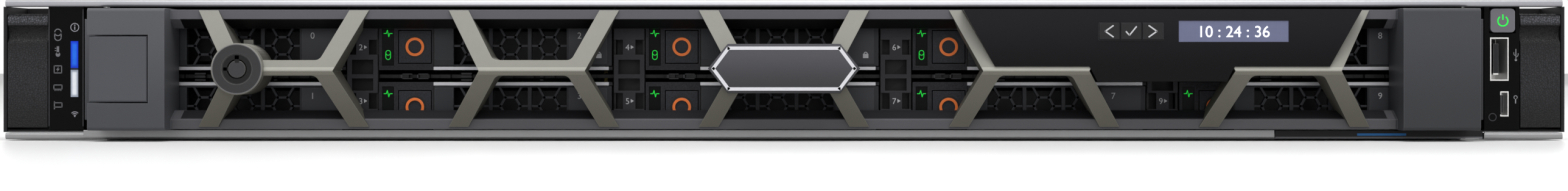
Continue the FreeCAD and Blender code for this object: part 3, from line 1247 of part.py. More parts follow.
SHROUD_HALF = "(main_half + 3)"
shroud_top = box(
    "shroud_top", (f"-{SHROUD_HALF}", "shroud_front", "shroud_low"),
    (SHROUD_HALF, "shroud_back", "shroud_low + shroud_sheet"),
)
shroud_sides = [
    box(
        f"shroud_side_{name}", (f"{sign}{SHROUD_HALF} - {out}", "shroud_front", "sheet_metal"),
        (f"{sign}{SHROUD_HALF} + {back}", "shroud_back", "shroud_low"),
    )
    for name, sign, out, back in (("left", "-", "0", "shroud_sheet"), ("right", "", "shroud_sheet", "0"))
]
node("air_shroud", fuse("shroud", shroud_top, *shroud_sides))

REAR_IN = "(body_depth - rear_metal)"
RISER_LEFT = "riser_side"
CARD_LOW = f"({BOARD_TOP} + card_rise)"
riser_right = fuse(
    "riser_right",
    box(
        "riser_board", (RISER_LEFT, "body_depth - riser_front", BOARD_TOP),
        (f"{RISER_LEFT} + board_thick", "body_depth - riser_front + riser_long", "riser_high"),
    ),
    box(
        "card", (f"{RISER_LEFT} + board_thick", "body_depth - riser_front + 10", CARD_LOW),
        (f"{RISER_LEFT} + card_wide", REAR_IN, f"{CARD_LOW} + board_thick"),
    ),
    box(
        "card_chip", (f"{RISER_LEFT} + chip_inset", "body_depth - riser_front + 40", f"{CARD_LOW} + board_thick"),
        (f"{RISER_LEFT} + chip_inset + chip_wide", "body_depth - riser_front + 40 + chip_wide", "riser_high"),
    ),
)
node("riser_cards", group("risers", riser_right, mirrored("riser_left", riser_right)))

# ------------------------------------------------------------------- rear wall
PSU_LEFT = "(psu_edge - psu_wide)"
PSU_TOP = "(psu_low + psu_tall)"
PSU_CLEAR = "2*run_gap"
rear_plate = box("rear_plate", (f"-{WALL_IN}", REAR_IN, "sheet_metal"), (WALL_IN, "body_depth", "rear_high"))
rear_cuts = [
    box(
        "psu_hole", (f"{PSU_LEFT} - run_gap", f"{REAR_IN} - 1", "sheet_metal - 1"),
        ("psu_edge + run_gap", "body_depth + 1", f"{PSU_TOP} + run_gap"),
    ),
]
rear_cuts.append(mirrored("psu_hole_left", rear_cuts[0]))
net_ports = []
NET_LEFTS = ("-128", "-110")
for number, left in enumerate(NET_LEFTS):
    rear_cuts.append(box(
        f"net_hole_{number}", (left, f"{REAR_IN} - 1", f"{BOARD_TOP}"), (f"{left} + net_wide", "body_depth + 1", f"{BOARD_TOP} + net_tall"),
    ))
    shell = cut(
        f"net_shell_{number}",
        box(f"net_outer_{number}", (left, "body_depth + 0.4 - net_deep", BOARD_TOP), (f"{left} + net_wide", "body_depth + 0.4", f"{BOARD_TOP} + net_tall")),
        box(
            f"net_inner_{number}", (f"{left} + 1", "body_depth + 0.4 - net_deep + 2", f"{BOARD_TOP} + 1.5"),
            (f"{left} + net_wide - 1", "body_depth + 2", f"{BOARD_TOP} + net_tall - 1.5"),
        ),
    )
    net_ports.append(shell)
USB_LEFTS = ("-88", "-71")
for number, left in enumerate(USB_LEFTS):
    rear_cuts.append(box(
        f"rear_usb_hole_{number}", (left, f"{REAR_IN} - 1", BOARD_TOP), (f"{left} + 13.6", "body_depth + 1", f"{BOARD_TOP} + 6"),
    ))
    net_ports.append(fuse(
        f"rear_usb_{number}",
        cut(
            f"rear_usb_shell_{number}",
            box(f"rear_usb_outer_{number}", (left, "body_depth - 11.6", BOARD_TOP), (f"{left} + 13.6", "body_depth + 0.4", f"{BOARD_TOP} + 6")),
            box(
                f"rear_usb_inner_{number}", (f"{left} + 0.6", "body_depth - 11", f"{BOARD_TOP} + 0.6"),
                (f"{left} + 13", "body_depth + 2", f"{BOARD_TOP} + 5.4"),
            ),
        ),
        box(
            f"rear_usb_tongue_{number}", (f"{left} + 1.4", "body_depth - 11.2", f"{BOARD_TOP} + 2.2"),
            (f"{left} + 12.2", "body_depth - 0.4", f"{BOARD_TOP} + 3.8"),
        ),
    ))
VIDEO = ("-46", "-16")
rear_cuts.append(box("video_hole", (VIDEO[0], f"{REAR_IN} - 1", BOARD_TOP), (VIDEO[1], "body_depth + 1", f"{BOARD_TOP} + 12")))
video_body = box("video_block", (VIDEO[0], "body_depth - 14", BOARD_TOP), (VIDEO[1], "body_depth + 0.4", f"{BOARD_TOP} + 12"))
video_shell = prism(
    "video_shell", "Y",
    (
        ("-39.4", f"{BOARD_TOP} + 2"), ("-22.6", f"{BOARD_TOP} + 2"), ("-21.4", f"{BOARD_TOP} + 10"), ("-40.6", f"{BOARD_TOP} + 10"),
    ),
    "body_depth", "body_depth + 5",
)
video_socket = prism(
    "video_socket", "Y",
    (
        ("-38.8", f"{BOARD_TOP} + 2.6"), ("-23.2", f"{BOARD_TOP} + 2.6"), ("-22", f"{BOARD_TOP} + 9.4"), ("-40", f"{BOARD_TOP} + 9.4"),
    ),
    "body_depth + 2", "body_depth + 6",
)
net_ports.append(cut("video", fuse("video_whole", video_body, video_shell), video_socket))
ID_X = "4"
ID_Z = f"({BOARD_TOP} + 5)"
rear_cuts.append(rod("id_hole", "Y", (ID_X, f"{REAR_IN} - 1", ID_Z), "id_button + run_gap", "rear_metal + 2"))
VENTS = 11
slot_vents = repeat(
    "rear_vents",
    box(
        "rear_vent", ("vent_first", f"{REAR_IN} - 1", "vent_high - vent_tall"),
        ("vent_first + vent_wide", "body_depth + 1", "vent_high"),
    ),
    [(amount(f"{number}*vent_pitch"), 0, 0) for number in range(VENTS)]
    + [(-amount(f"2*vent_first + vent_wide + {number}*vent_pitch"), 0, 0) for number in range(VENTS)],
)
slot_hole = box(
    "slot_hole", ("slot_left", f"{REAR_IN} - 1", "slot_low"), ("slot_right", "body_depth + 1", "slot_high"),
)
node("rear_panel", cut("rear_cut", rear_plate, *rear_cuts, slot_vents, slot_hole))
node("rear_ports", group("rear_port_row", *net_ports))
node("id_button", fuse(
    "id_cap", rod("id_face", "Y", (ID_X, "body_depth - 4", ID_Z), "id_button", "4.6"),
    bar("id_flange", "Y", (ID_X, "body_depth - 6", ID_Z), "id_button + 1.5", "2", 12),
))

# -------------------------------------------------------------- power supplies
GRIP_MID = "(psu_edge - psu_wide*0.3)"
INLET_LEFT = f"({PSU_LEFT} + 4)"
LEVER_X = f"({INLET_LEFT} + inlet_wide/2)"
LEVER_Y = "(psu_face + lever_off + lever_thick/2)"


def power_supply(name):
    """Right-hand supply: case, mains inlet with its three pins, vent and pull handle."""
    case = box(name + "_case", (PSU_LEFT, "psu_face - psu_long", "psu_low"), ("psu_edge", "psu_face", PSU_TOP))
    inlet = box(
        name + "_inlet", (INLET_LEFT, "psu_face - inlet_deep", "psu_low + 8"),
        (f"{INLET_LEFT} + inlet_wide", "psu_face + 1", "psu_low + 8 + inlet_tall"),
    )
    pins = [
        box(
            f"{name}_pin_{number}", (f"{INLET_LEFT} + inlet_wide/2 + {shift} - 1", "psu_face - inlet_deep - 0.5", f"psu_low + 8 + {rise}"),
            (f"{INLET_LEFT} + inlet_wide/2 + {shift} + 1", "psu_face - 4", f"psu_low + 12 + {rise}"),
        )
        for number, (shift, rise) in enumerate(((-7, 3), (0, 6), (7, 3)))
    ]
    grip_out = box(
        name + "_grip_outer", (f"{GRIP_MID} - grip_wide/2", "psu_face", "psu_low + 6"),
        (f"{GRIP_MID} + grip_wide/2", "psu_face + grip_reach", "psu_low + 6 + grip_bar"),
    )
    bar = box(
        name + "_grip_bar", (f"{GRIP_MID} - grip_wide/2", "psu_face + grip_reach - grip_bar", "psu_low + 6"),
        (f"{GRIP_MID} + grip_wide/2", "psu_face + grip_reach", "psu_low + psu_tall - 6"),
    )
    grip_top = box(
        name + "_grip_top", (f"{GRIP_MID} - grip_wide/2", "psu_face", "psu_low + psu_tall - 6 - grip_bar"),
        (f"{GRIP_MID} + grip_wide/2", "psu_face + grip_reach", "psu_low + psu_tall - 6"),
    )
    rounded_bar = fillet(
        name + "_grip", fuse(name + "_grip_loop", grip_out, bar, grip_top), "2",
        lambda middle, way: abs(way.x) > 0.99 and middle.y > amount("psu_face + grip_reach") - 0.01,
    )
    lugs = [
        box(
            f"{name}_lug_{level}", (f"{LEVER_X} - lug_thick*1.5", "psu_face - 1", low),
            (f"{LEVER_X} + lug_thick*1.5", f"{LEVER_Y} + lug_thick*1.2", f"{low} + lug_thick"),
        )
        for level, low in (
            ("low", "psu_low + lever_low - run_gap - lug_thick"), ("high", "psu_low + lever_low + lever_tall + run_gap"),
        )
    ]
    pin = rod(
        name + "_lever_pin", "Z", (LEVER_X, LEVER_Y, "psu_low + lever_low - run_gap - 0.5"), "lever_pin",
        "lever_tall + 2*run_gap + 1",
    )
    return fuse(name, cut(name + "_hollow", case, inlet), *pins, rounded_bar, *lugs, pin)


supply = power_supply("supply")
node("psu_2", supply)
node("psu_1", mirrored("supply_left", supply))

# Each supply's release lever turns on an upright pin above the inlet
lever_arm = box(
    "lever_arm", (f"{LEVER_X} - lever_long/2", "psu_face + lever_off", "psu_low + lever_low"),
    (f"{LEVER_X} + lever_long/2", "psu_face + lever_off + lever_thick", "psu_low + lever_low + lever_tall"),
)
lever_thumb = box(
    "lever_thumb", (f"{LEVER_X} - lever_long/2", "psu_face + lever_off", "psu_low + lever_low"),
    (f"{LEVER_X} - lever_long/2 + 3", f"{LEVER_Y} + 9", "psu_low + lever_low + lever_tall"),
)
lever_bore = rod(
    "lever_bore", "Z", (LEVER_X, LEVER_Y, "psu_low + lever_low - 1"), "lever_pin + pin_gap", "lever_tall + 2",
)
lever = cut("lever", fuse("lever_solid", lever_arm, lever_thumb), lever_bore)
node("psu_2_lever", lever)
node("psu_1_lever", mirrored("lever_left", lever))

# ------------------------------------------------------------------- top cover
COVER_HALF = "(body_width/2)"
WELL_HALF = "(handle_half + 3)"
WELL_BACK = "(well_front + well_long)"
WELL_OUT = (f"({WELL_HALF} + cover_metal)", "(well_front - cover_metal)", f"({WELL_BACK} + cover_metal)")
cover_plate = box("cover_plate", (f"-{COVER_HALF}", "cover_front", COVER_LOW), (COVER_HALF, "cover_back", "unit_height"))
skirt_right = box(
    "skirt_right", (f"{COVER_HALF} - cover_metal", "cover_front", "unit_height - skirt"), (COVER_HALF, "cover_back", COVER_LOW),
)
well_window = box("well_window", (f"-{WELL_OUT[0]}", WELL_OUT[1], f"{COVER_LOW} - 1"), (WELL_OUT[0], WELL_OUT[2], "unit_height + 1"))
well_block = box(
    "well_block", (f"-{WELL_OUT[0]}", WELL_OUT[1], "well_floor - cover_metal"), (WELL_OUT[0], WELL_OUT[2], "unit_height"),
)
well = box("well", (f"-{WELL_HALF}", "well_front", "well_floor"), (WELL_HALF, WELL_BACK, "unit_height + 1"))
PIN_Y = f"({WELL_BACK} - 3)"
PIN_Z = "(unit_height - 0.4 - handle_plate/2 - 0.2)"
pin_bore = rod("cover_pin_bore", "X", (f"-{WELL_HALF} - 1", PIN_Y, PIN_Z), "hinge_pin + pin_gap", f"2*{WELL_HALF} + 2")
node("top_cover", group(
    "cover", cut("cover_sheet", cover_plate, well_window), skirt_right, mirrored("skirt_left", skirt_right),
    cut("well_tray", well_block, well, pin_bore),
))

HANDLE_TOP = "(unit_height - 0.4)"
latch_plate = box(
    "latch_plate_block", ("-handle_half", "well_front + 3", f"{HANDLE_TOP} - handle_plate"), ("handle_half", PIN_Y, HANDLE_TOP),
)
latch_barrel = bar("latch_barrel", "X", ("-handle_half", PIN_Y, PIN_Z), "hinge_pin + 0.2", "2*handle_half", 12)
latch_pin = rod("latch_pin", "X", (f"-{WELL_HALF} - 0.8", PIN_Y, PIN_Z), "hinge_pin", f"2*{WELL_HALF} + 1.6")
SCREW_Y = "(well_front + 12)"
screw_bore = rod("catch_bore", "Z", ("0", SCREW_Y, "well_floor - 1"), "catch_screw + pin_gap", "6")
node("cover_latch_handle", fuse("latch_handle", cut("latch_bored", latch_plate, screw_bore), latch_barrel, latch_pin))
catch = cut(
    "catch",
    rod("catch_disc", "Z", ("0", SCREW_Y, f"well_floor + run_gap"), "catch_screw", f"{HANDLE_TOP} - well_floor - run_gap"),
    box("catch_slot", ("-3", f"{SCREW_Y} - 0.5", f"{HANDLE_TOP} - 0.8"), ("3", f"{SCREW_Y} + 0.5", "unit_height + 1")),
)
node("cover_latch_lock", catch)

# ---------------------------------------------------------------------- export
doc.recompute()
for item in doc.Objects:
    if "Invalid" in item.State or "Error" in item.State:
        raise RuntimeError(f"{item.Label} did not build: {item.State}")
for part in NODES:
    if part.Shape.isNull() or not part.Shape.isValid():
        raise RuntimeError(f"{part.Label} is not a valid shape")
os.makedirs("parts", exist_ok=True)
for part in NODES:
    part.Shape.exportStep(f"parts/{part.Label}.step")
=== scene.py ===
"""Looks of a rack server, one unit high, seen from its lattice bezel.

Every piece is set out in millimetres and made in metres, X to the viewer's
right, Y to the rear and Z up.
"""
import math

import bmesh
import bpy
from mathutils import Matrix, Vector


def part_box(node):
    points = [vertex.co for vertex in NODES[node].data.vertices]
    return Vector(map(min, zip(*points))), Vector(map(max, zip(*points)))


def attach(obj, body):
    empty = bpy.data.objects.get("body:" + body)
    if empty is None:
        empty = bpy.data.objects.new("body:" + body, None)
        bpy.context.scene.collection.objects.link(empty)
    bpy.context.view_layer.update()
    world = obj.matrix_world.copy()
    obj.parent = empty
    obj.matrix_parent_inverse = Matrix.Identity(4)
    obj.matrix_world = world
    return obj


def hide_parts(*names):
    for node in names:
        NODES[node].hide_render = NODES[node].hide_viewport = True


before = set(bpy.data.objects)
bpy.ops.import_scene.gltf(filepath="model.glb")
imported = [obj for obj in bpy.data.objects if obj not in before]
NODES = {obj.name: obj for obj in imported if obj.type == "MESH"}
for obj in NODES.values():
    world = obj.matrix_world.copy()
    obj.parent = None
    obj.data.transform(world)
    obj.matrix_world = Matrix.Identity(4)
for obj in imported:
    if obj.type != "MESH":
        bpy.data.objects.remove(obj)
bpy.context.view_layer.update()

MM = 0.001


# ----------------------------------------------------------------- measures
def front_of(name):
    """Where a node begins at the front, in millimetres."""
    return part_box(name)[0].y / MM


def box(name):
    """Least and greatest corner of a node, in millimetres."""
    return [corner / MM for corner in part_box(name)]


BAY_LEFT, BAY_PITCH, ROW_LOW, ROW_RISE, BLOCK = -209.0, 83.0, 2.6, 18.7, 14.95
CARRIER_FACE = front_of("drive_carriers")
PANEL_FACE = front_of("io_panel")
PLATE_FACE = front_of("bay_number_plates")
KEYS = ("left", "select", "right")
RELEASE_IN, RELEASE_DOWN = 11.2, 7.75
HANDLE_DEEP, WINDOW_PITCH, WINDOW_WIDE, HEX, WEB = 2.4, 12.1, 10.9, 3.1, 0.75
LIP_HALF, LIP_HIGH = 216.0, 2.85
NET_LEFTS = (-128.0, -110.0)
REAR_SCREWS = ((-144, 37), (144, 37), (13.5, 34), (-140, 6), (140, 6), (132, 14.5), (32, 14.5))
FAN_X, FAN_Z = 195.8, 20.9
RIDGE, BAR_LOW, BAR_HIGH, BAR_ROUND = 21.0, 19.6, 24.3, 2.2
ARM_TOP, ARM_FOOT, ARM_HALF, ARM_WIDE, WAIST_HALF = 39.5, 4.0, 26.0, 6.0, 16.07
STRUT_PITCH, STRUT_RIDGE, STRUT_EDGE, STRUT_BACK = 76.4, -35.8, -29.4, -22.5
STRUT_HIGH, STRUT_LOW = 39.7, 3.3
LOCK_X, LOCK_Z, LOCK_RING, LOCK_BARREL, LOCK_SEAT = -165.4, 21.6, 7.8, 6.0, -34.1
DISPLAY_OUTLINE = (
    (54.3, 39.7), (63.9, 22.4), (92.5, 22.4), (94.9, 17.8),
    (134.1, 17.8), (136.5, 22.4), (165.3, 22.4), (175.1, 39.7),
)
REAR_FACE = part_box("rear_panel")[1].y / MM
SUPPLY_FACE = REAR_FACE + 1.5
BAYS = [
    (BAY_LEFT + BAY_PITCH * column, ROW_LOW + ROW_RISE * row)
    for column in range(5) for row in (1, 0)
]


# ------------------------------------------------------------------ shading
def tint(code):
    """Linear colour of a written one such as #5F5E63."""
    parts = [int(code[i:i + 2], 16) / 255 for i in (1, 3, 5)]
    return tuple(p / 12.92 if p < 0.04045 else ((p + 0.055) / 1.055) ** 2.4 for p in parts) + (1.0,)


def arithmetic(operation):
    """Method for a sign between a wire and another wire or number."""
    return lambda wire, *others: wire.math(operation, *others)


class Wire:
    """One output of a shader node. Sums, products and comparisons make Math nodes."""

    def __init__(self, nodes, socket):
        self.nodes, self.socket = nodes, socket

    def math(self, operation, *others):
        values = dict(enumerate((self, *others)))
        return self.nodes.add("ShaderNodeMath", {"operation": operation}, values)

    def beside(self, *names):
        """Other outputs of the same node."""
        return [Wire(self.nodes, self.socket.node.outputs[name]) for name in names]

    __add__ = __radd__ = arithmetic("ADD")
    __mul__ = __rmul__ = arithmetic("MULTIPLY")
    __sub__ = arithmetic("SUBTRACT")
    __mod__ = arithmetic("FLOORED_MODULO")
    __gt__ = arithmetic("GREATER_THAN")
    __lt__ = arithmetic("LESS_THAN")
    __abs__ = arithmetic("ABSOLUTE")

    def __rsub__(self, other):
        return self.nodes.add("ShaderNodeMath", {"operation": "SUBTRACT"}, {0: other, 1: self})

    def clipped(self):
        return self.math("MINIMUM", 1.0).math("MAXIMUM", 0.0)

    def ramp(self, low, high, start=0.0, end=1.0):
        """Smooth rise from start at low to end at high."""
        return self.nodes.add(
            "ShaderNodeMapRange", {"interpolation_type": "SMOOTHSTEP"},
            {"Value": self, "From Min": low, "From Max": high, "To Min": start, "To Max": end})

    def within(self, low, high, soft=0.04):
        """1 between two limits and 0 outside, with a soft edge."""
        return self.ramp(low - soft, low + soft) * (1 - self.ramp(high - soft, high + soft))


class Nodes:
    """The nodes of a world or a material, all made by one method."""

    def __init__(self, owner):
        owner.use_nodes = True
        self.tree = owner.node_tree
        self.tree.nodes.clear()

    def add(self, kind, settings=None, sockets=None, result=0):
        """One node, its settings first and then the values or links of its sockets."""
        one = self.tree.nodes.new(kind)
        for key, value in (settings or {}).items():
            setattr(one, key, value)
        for key, value in (sockets or {}).items():
            self.join(one.inputs[key], value)
        return Wire(self, one.outputs[result]) if one.outputs else None

    def join(self, socket, value):
        if isinstance(value, Wire):
            self.tree.links.new(socket, value.socket)
        else:
            socket.default_value = value

    def shown(self):
        """1 for rays that are seen, directly or by mirror or glass, 0 for rays that light."""
        path = self.add("ShaderNodeLightPath")
        camera, glossy, clear = path.beside("Is Camera Ray", "Is Glossy Ray", "Is Transmission Ray")
        return (camera + glossy + clear).clipped()


class Finish(Nodes):
    """A surface being made: its shader, its place in millimetres, and the nodes that feed it."""

    def __init__(self, name, rough=0.5, metal=0.0, shine=0.2, **fixed):
        self.material = bpy.data.materials.new(name)
        super().__init__(self.material)
        shader = self.add("ShaderNodeBsdfPrincipled")
        self.add("ShaderNodeOutputMaterial", {}, {0: shader})
        self.shader = shader.socket.node
        shine = 0.5 if metal else shine
        self.feed(Roughness=rough, Metallic=metal, Specular_IOR_Level=shine, **fixed)
        where = self.add("ShaderNodeTexCoord", result="Object")
        scaled = {"Vector": where, "Scale": 1 / MM}
        self.place = self.add("ShaderNodeVectorMath", {"operation": "SCALE"}, scaled)
        split = self.add("ShaderNodeSeparateXYZ", {}, {0: self.place})
        self.x, self.y, self.z = split.beside("X", "Y", "Z")

    def feed(self, **sockets):
        """Set the shader's own sockets, underscores standing for spaces."""
        for key, value in sockets.items():
            self.join(self.shader.inputs[key.replace("_", " ")], value)
        return self

    def mix(self, share, first, second, blend="MIX"):
        """Colour between two colours."""
        first, second = (tint(c) if isinstance(c, str) else c for c in (first, second))
        return self.add("ShaderNodeMix", {"data_type": "RGBA", "blend_type": blend},
                        {0: share, 6: first, 7: second}, result=2)

    def stretched(self, stretch):
        sockets = {0: self.place, 1: stretch}
        return self.add("ShaderNodeVectorMath", {"operation": "MULTIPLY"}, sockets)

    def grain(self, size, detail=2.0, stretch=(1, 1, 1), rough=0.5):
        """Noise with features about this many millimetres wide, 0 to 1."""
        return self.add("ShaderNodeTexNoise", {}, {
            "Vector": self.stretched(stretch), "Scale": 1 / size,
            "Detail": detail, "Roughness": rough})

    def cells(self, size, feature="F1", result="Distance", stretch=(1, 1, 1)):
        """Cells about this many millimetres wide."""
        return self.add("ShaderNodeTexVoronoi", {"feature": feature}, {
            "Vector": self.stretched(stretch), "Scale": 1 / size}, result=result)

    def softened(self, radius):
        """Normal of the surface with its edges rounded off."""
        return self.add("ShaderNodeBevel", {"samples": 4}, {"Radius": radius * MM})

    def facing(self, axis):
        """Share by which the surface faces along an axis or a softened normal, 0 to 1."""
        normal = self.add("ShaderNodeNewGeometry", result="Normal")
        settings = {"operation": "DOT_PRODUCT"}
        share = self.add("ShaderNodeVectorMath", settings, {0: normal, 1: axis}, result="Value")
        return share.clipped()

    def edges(self, radius=0.4, gain=6.0):
        """1 along the edges of the piece and 0 on its flats."""
        return ((1 - self.facing(self.softened(radius))) * gain).clipped()

    def coat(self, base, worn, wear, rough, radius=0.3, gain=6.0, **more):
        """Base colour with worn edges, and the roughness."""
        worn_base = self.mix(self.edges(radius, gain) * wear, base, worn)
        return self.feed(Base_Color=worn_base, Roughness=rough, **more)

    def crystals(self, size):
        """Grey spangle of zinc, 0 to 1."""
        return self.add("ShaderNodeRGBToBW", {}, {0: self.cells(size, result="Color")})

    def relief(self, height, depth, round_edges=0.25):
        """Raise the surface by a height of 0 to 1 times depth in millimetres, edges eased."""
        sockets = {"Height": height, "Distance": depth * MM, "Strength": 1.0}
        if round_edges:
            sockets["Normal"] = self.softened(round_edges)
        return self.feed(Normal=self.add("ShaderNodeBump", {}, sockets))


def spread(finish, colour, lift, amount):
    """Colour made lighter or darker by a wire of 0 to 1 around a half."""
    scale = 1 + (lift - 0.5) * (2 * amount)
    grey = finish.add("ShaderNodeCombineColor", {}, {0: scale, 1: scale, 2: scale})
    return finish.mix(1.0, colour, grey, "MULTIPLY")


# ----------------------------------------------------------------- finishes
def moulded(name, colour, rough=0.5, grain=0.35, relief=0.03, mottle=0.05, worn="#FFFFFF", wear=0.12):
    """Moulded or painted surface: fine texture, faint mottling, paler edges."""
    f = Finish(name)
    fine = f.grain(grain, detail=3)
    broad = f.grain(9, detail=3)
    base = spread(f, tint(colour), broad * 0.6 + fine * 0.4, mottle)
    rubbed = wear * f.grain(1.5).ramp(0.35, 0.7, 0.3, 1.0)
    f.coat(base, worn, rubbed, rough + (broad - 0.5) * 0.12 + (fine - 0.5) * 0.1, 0.4)
    return f.relief(fine, relief)


def sheet_steel(name, colour, rough=0.44, spangle=5.0):
    """Zinc-coated sheet: crystal spangle, rolling lines and handling smudges."""
    f = Finish(name, metal=0.7)
    tone = f.crystals(spangle)
    rolled = f.grain(0.6, stretch=(0.03, 1, 1))
    smudge = f.grain(38, detail=4, rough=0.6)
    base = spread(f, tint(colour), tone * 0.45 + rolled * 0.25 + smudge * 0.3, 0.14)
    f.coat(base, "#D8DADC", 0.35, rough + (tone - 0.5) * 0.12 + smudge.ramp(0.5, 0.75, 0, 0.12), 0.5)
    return f.relief(tone * 0.6 + rolled * 0.4, 0.012)


def brushed(name, colour, rough=0.3, along=(0.02, 1, 1)):
    """Metal with fine lines along one direction."""
    f = Finish(name, metal=1.0)
    lines = f.grain(0.16, detail=3, stretch=along)
    haze = f.grain(24, detail=3)
    base = spread(f, tint(colour), lines * 0.6 + haze * 0.4, 0.12)
    f.coat(base, "#F2F2F4", 0.4, rough + (lines - 0.5) * 0.16)
    return f.relief(lines, 0.008)


def piano(name, colour="#070708", rough=0.22):
    """Glossy black with dust and faint swirls."""
    f = Finish(name, shine=0.05)
    dust = f.cells(2.2).ramp(0.05, 0.02)
    swirl = f.grain(0.5, detail=3, stretch=(1, 1, 0.12))
    f.feed(Base_Color=f.mix(dust * 0.05, spread(f, tint(colour), f.grain(12), 0.1), "#5A5A60"),
           Roughness=rough + swirl.ramp(0.5, 0.8, 0, 0.08) + dust * 0.25)
    return f.relief(swirl, 0.002, round_edges=0.3)


def board(name, colour="#16452D"):
    """Circuit board: tracks under green lacquer, pads and packages."""
    f = Finish(name)
    lanes = ((f.x * 0.5) % 1).within(0.3, 0.62, 0.05)
    lanes = lanes * f.grain(14, stretch=(1, 0.25, 1)).ramp(0.45, 0.5)
    cross = ((f.y * 0.4) % 1).within(0.3, 0.6, 0.05)
    cross = cross * f.grain(17, stretch=(0.25, 1, 1)).ramp(0.52, 0.57)
    pads = f.cells(6.5, stretch=(1, 1, 0)).ramp(0.16, 0.13)
    base = spread(f, tint(colour), f.grain(20), 0.15)
    base = f.mix((lanes + cross).clipped() * 0.6, base, "#2C6A45")
    base = f.mix(pads, base, "#B9A86A")
    f.feed(Base_Color=base, Roughness=0.34 + pads * -0.08, Metallic=pads * 0.8)
    return f.relief(lanes + cross + pads, 0.03)


def leather(name):
    """Black moulding with a fine pebbled grain, a painted highlight over its rolled top, painted
    light across its middle, and painted shade under the top and in the creases.
    """
    f = Finish(name, shine=0.22)
    pebble = f.cells(0.7, feature="SMOOTH_F1").ramp(0.0, 0.55)
    crease = f.cells(0.7, feature="DISTANCE_TO_EDGE").ramp(0.0, 0.14)
    # Painted highlight along the rolled top of the latch.
    painted_highlight_crown = f.z.within(35.7, 38.0, 1.1) * (f.y < -18.8)
    # Painted light: paler across the middle of the latch's height.
    painted_light_belly = f.z.within(11, 28, 7)
    base = f.mix(painted_highlight_crown * 0.9 + painted_light_belly * 0.18, "#141416", "#65666D")
    # Painted shade: the grain's creases are darkened.
    base = f.mix(crease * (1 - pebble * 0.45), "#060607", spread(f, base, f.grain(3), 0.14))
    # Painted shade: a near-black band under the rolled top.
    base = f.mix(f.z.within(30.2, 34.9, 0.8) * 0.7, base, "#060607")
    f.feed(Base_Color=base, Roughness=0.44 + (1 - pebble) * 0.2)
    return f.relief(crease * (1 - pebble * 0.5), 0.09, round_edges=0.3)


def ink(name, colour, rough=0.45):
    """Printing on a panel, slightly uneven."""
    f = Finish(name)
    base = spread(f, tint(colour), f.grain(0.5, detail=3), 0.06)
    f.feed(Base_Color=base, Roughness=rough + (f.grain(2) - 0.5) * 0.1)
    return f.relief(f.grain(0.25), 0.004, round_edges=0)


def lamp(name, colour, strength):
    """Light behind a diffusing window, brighter in the middle of its grain."""
    f = Finish(name, rough=0.35)
    glow = f.grain(0.6, detail=2).ramp(0.2, 0.9, 0.75, 1.1)
    lit = spread(f, tint(colour), glow, 0.5)
    return f.feed(Base_Color=lit, Emission_Color=lit, Emission_Strength=strength)


def lattice_grey():
    """Sanded warm grey of the struts, with painted light: pale above the ridge, with painted shade
    below it, on the sides and behind the ridge's front.
    """
    f = Finish("lattice_grey", rough=0.6, shine=0.15)
    sand = f.grain(0.22, detail=3, rough=0.7)
    cloud = f.grain(2.6, detail=4, rough=0.6)
    broad = f.grain(22, detail=2)
    # Painted light from above: darker below the ridge, paler above it.
    below = f.mix(f.z.ramp(4, 20), "#69675D", "#7C7A70")
    above = f.mix(f.z.ramp(22, 38), "#A8A79F", "#A9A8A1")
    face = f.mix(f.z.ramp(20.6, 21.6), below, above)
    base = spread(f, face, sand * 0.55 + cloud * 0.3 + broad * 0.15, 0.15)
    # Painted shade on the sides and on faces that turn downwards.
    side = f.facing((1, 0, 0)) + f.facing((-1, 0, 0)) + f.facing((0, 0, -1))
    base = f.mix(side.ramp(0.4, 0.9) * 0.8, base, "#3B3A35")
    # Painted shade on all that lies behind the ridge's front.
    base = f.mix((f.y > -35.4) * 0.35, base, "#4C4A43")
    f.coat(base, "#D0D0C8", 0.25, 0.58 + (sand - 0.5) * 0.2)
    return f.relief(sand * 0.7 + cloud * 0.3, 0.03, round_edges=0.3)


def bright_trim():
    """Bright bars above and below, greyer towards their ends."""
    f = Finish("bright_trim", metal=0.55)
    lines = f.grain(0.14, detail=3, stretch=(0.02, 1, 1))
    outer = abs(f.x).ramp(90, 240)
    upper = f.mix(f.z.ramp(42.3, 42.75) * 0.45, f.mix(outer, "#C6C6CB", "#97979C"), "#5F5F63")
    low = f.z < 10
    base = spread(f, f.mix(low, upper, "#8B8B8C"), lines * 0.7 + f.grain(18) * 0.3, 0.1)
    f.feed(Base_Color=base, Roughness=0.34 + (lines - 0.5) * 0.14)
    return f.relief(lines, 0.006)


def carrier_plastic():
    """Drive carriers: coarse black button block, bright strips, dark rails, and parts set back in the
    bay painted near-black as shade.
    """
    f = Finish("carrier_plastic")
    across = (f.x - BAY_LEFT) % BAY_PITCH
    up = f.z.within(0, 19.3, 0.01)
    height = f.z - ROW_LOW - (1 - up) * ROW_RISE
    coarse = f.grain(0.33, detail=4, rough=0.75)
    rails = height.within(-0.1, 1.06, 0.03) + height.within(13.9, 15.1, 0.03)
    strip = across.within(16.95, 71.5, 0.05) * rails.clipped()
    knurl = across.within(71.4, 73) * ((f.z * 1.4) % 1).ramp(0.2, 0.5)
    plastic = spread(f, tint("#26262A"), coarse.ramp(0.3, 0.7), 0.6)
    # Painted shade: parts set back in the bay are near-black.
    plastic = f.mix((across > 17.0) * (f.y > -16.9) + (f.y > -11.5), plastic, "#050506")
    plastic = f.mix(f.edges(0.3) * 0.25, plastic, "#6A6A70")
    plastic = f.mix(knurl * 0.6, plastic, "#3D3D42")
    silver = spread(f, tint("#C6C6CA"), f.grain(0.4, stretch=(0.05, 1, 1)), 0.1)
    base = f.mix(strip, plastic, silver)
    f.feed(Base_Color=base, Roughness=0.6 - strip * 0.2, Metallic=strip * 0.25)
    return f.relief(coarse * (1 - strip), 0.07, round_edges=0.15)


def eject_plastic():
    """Release buttons: coarse dark texture, their dish included."""
    f = Finish("eject_plastic")
    coarse = f.grain(0.3, detail=4, rough=0.75)
    f.coat(spread(f, tint("#2C2D32"), coarse.ramp(0.3, 0.7), 0.55), "#77777E", 0.3, 0.58)
    return f.relief(coarse, 0.07, round_edges=0.2)


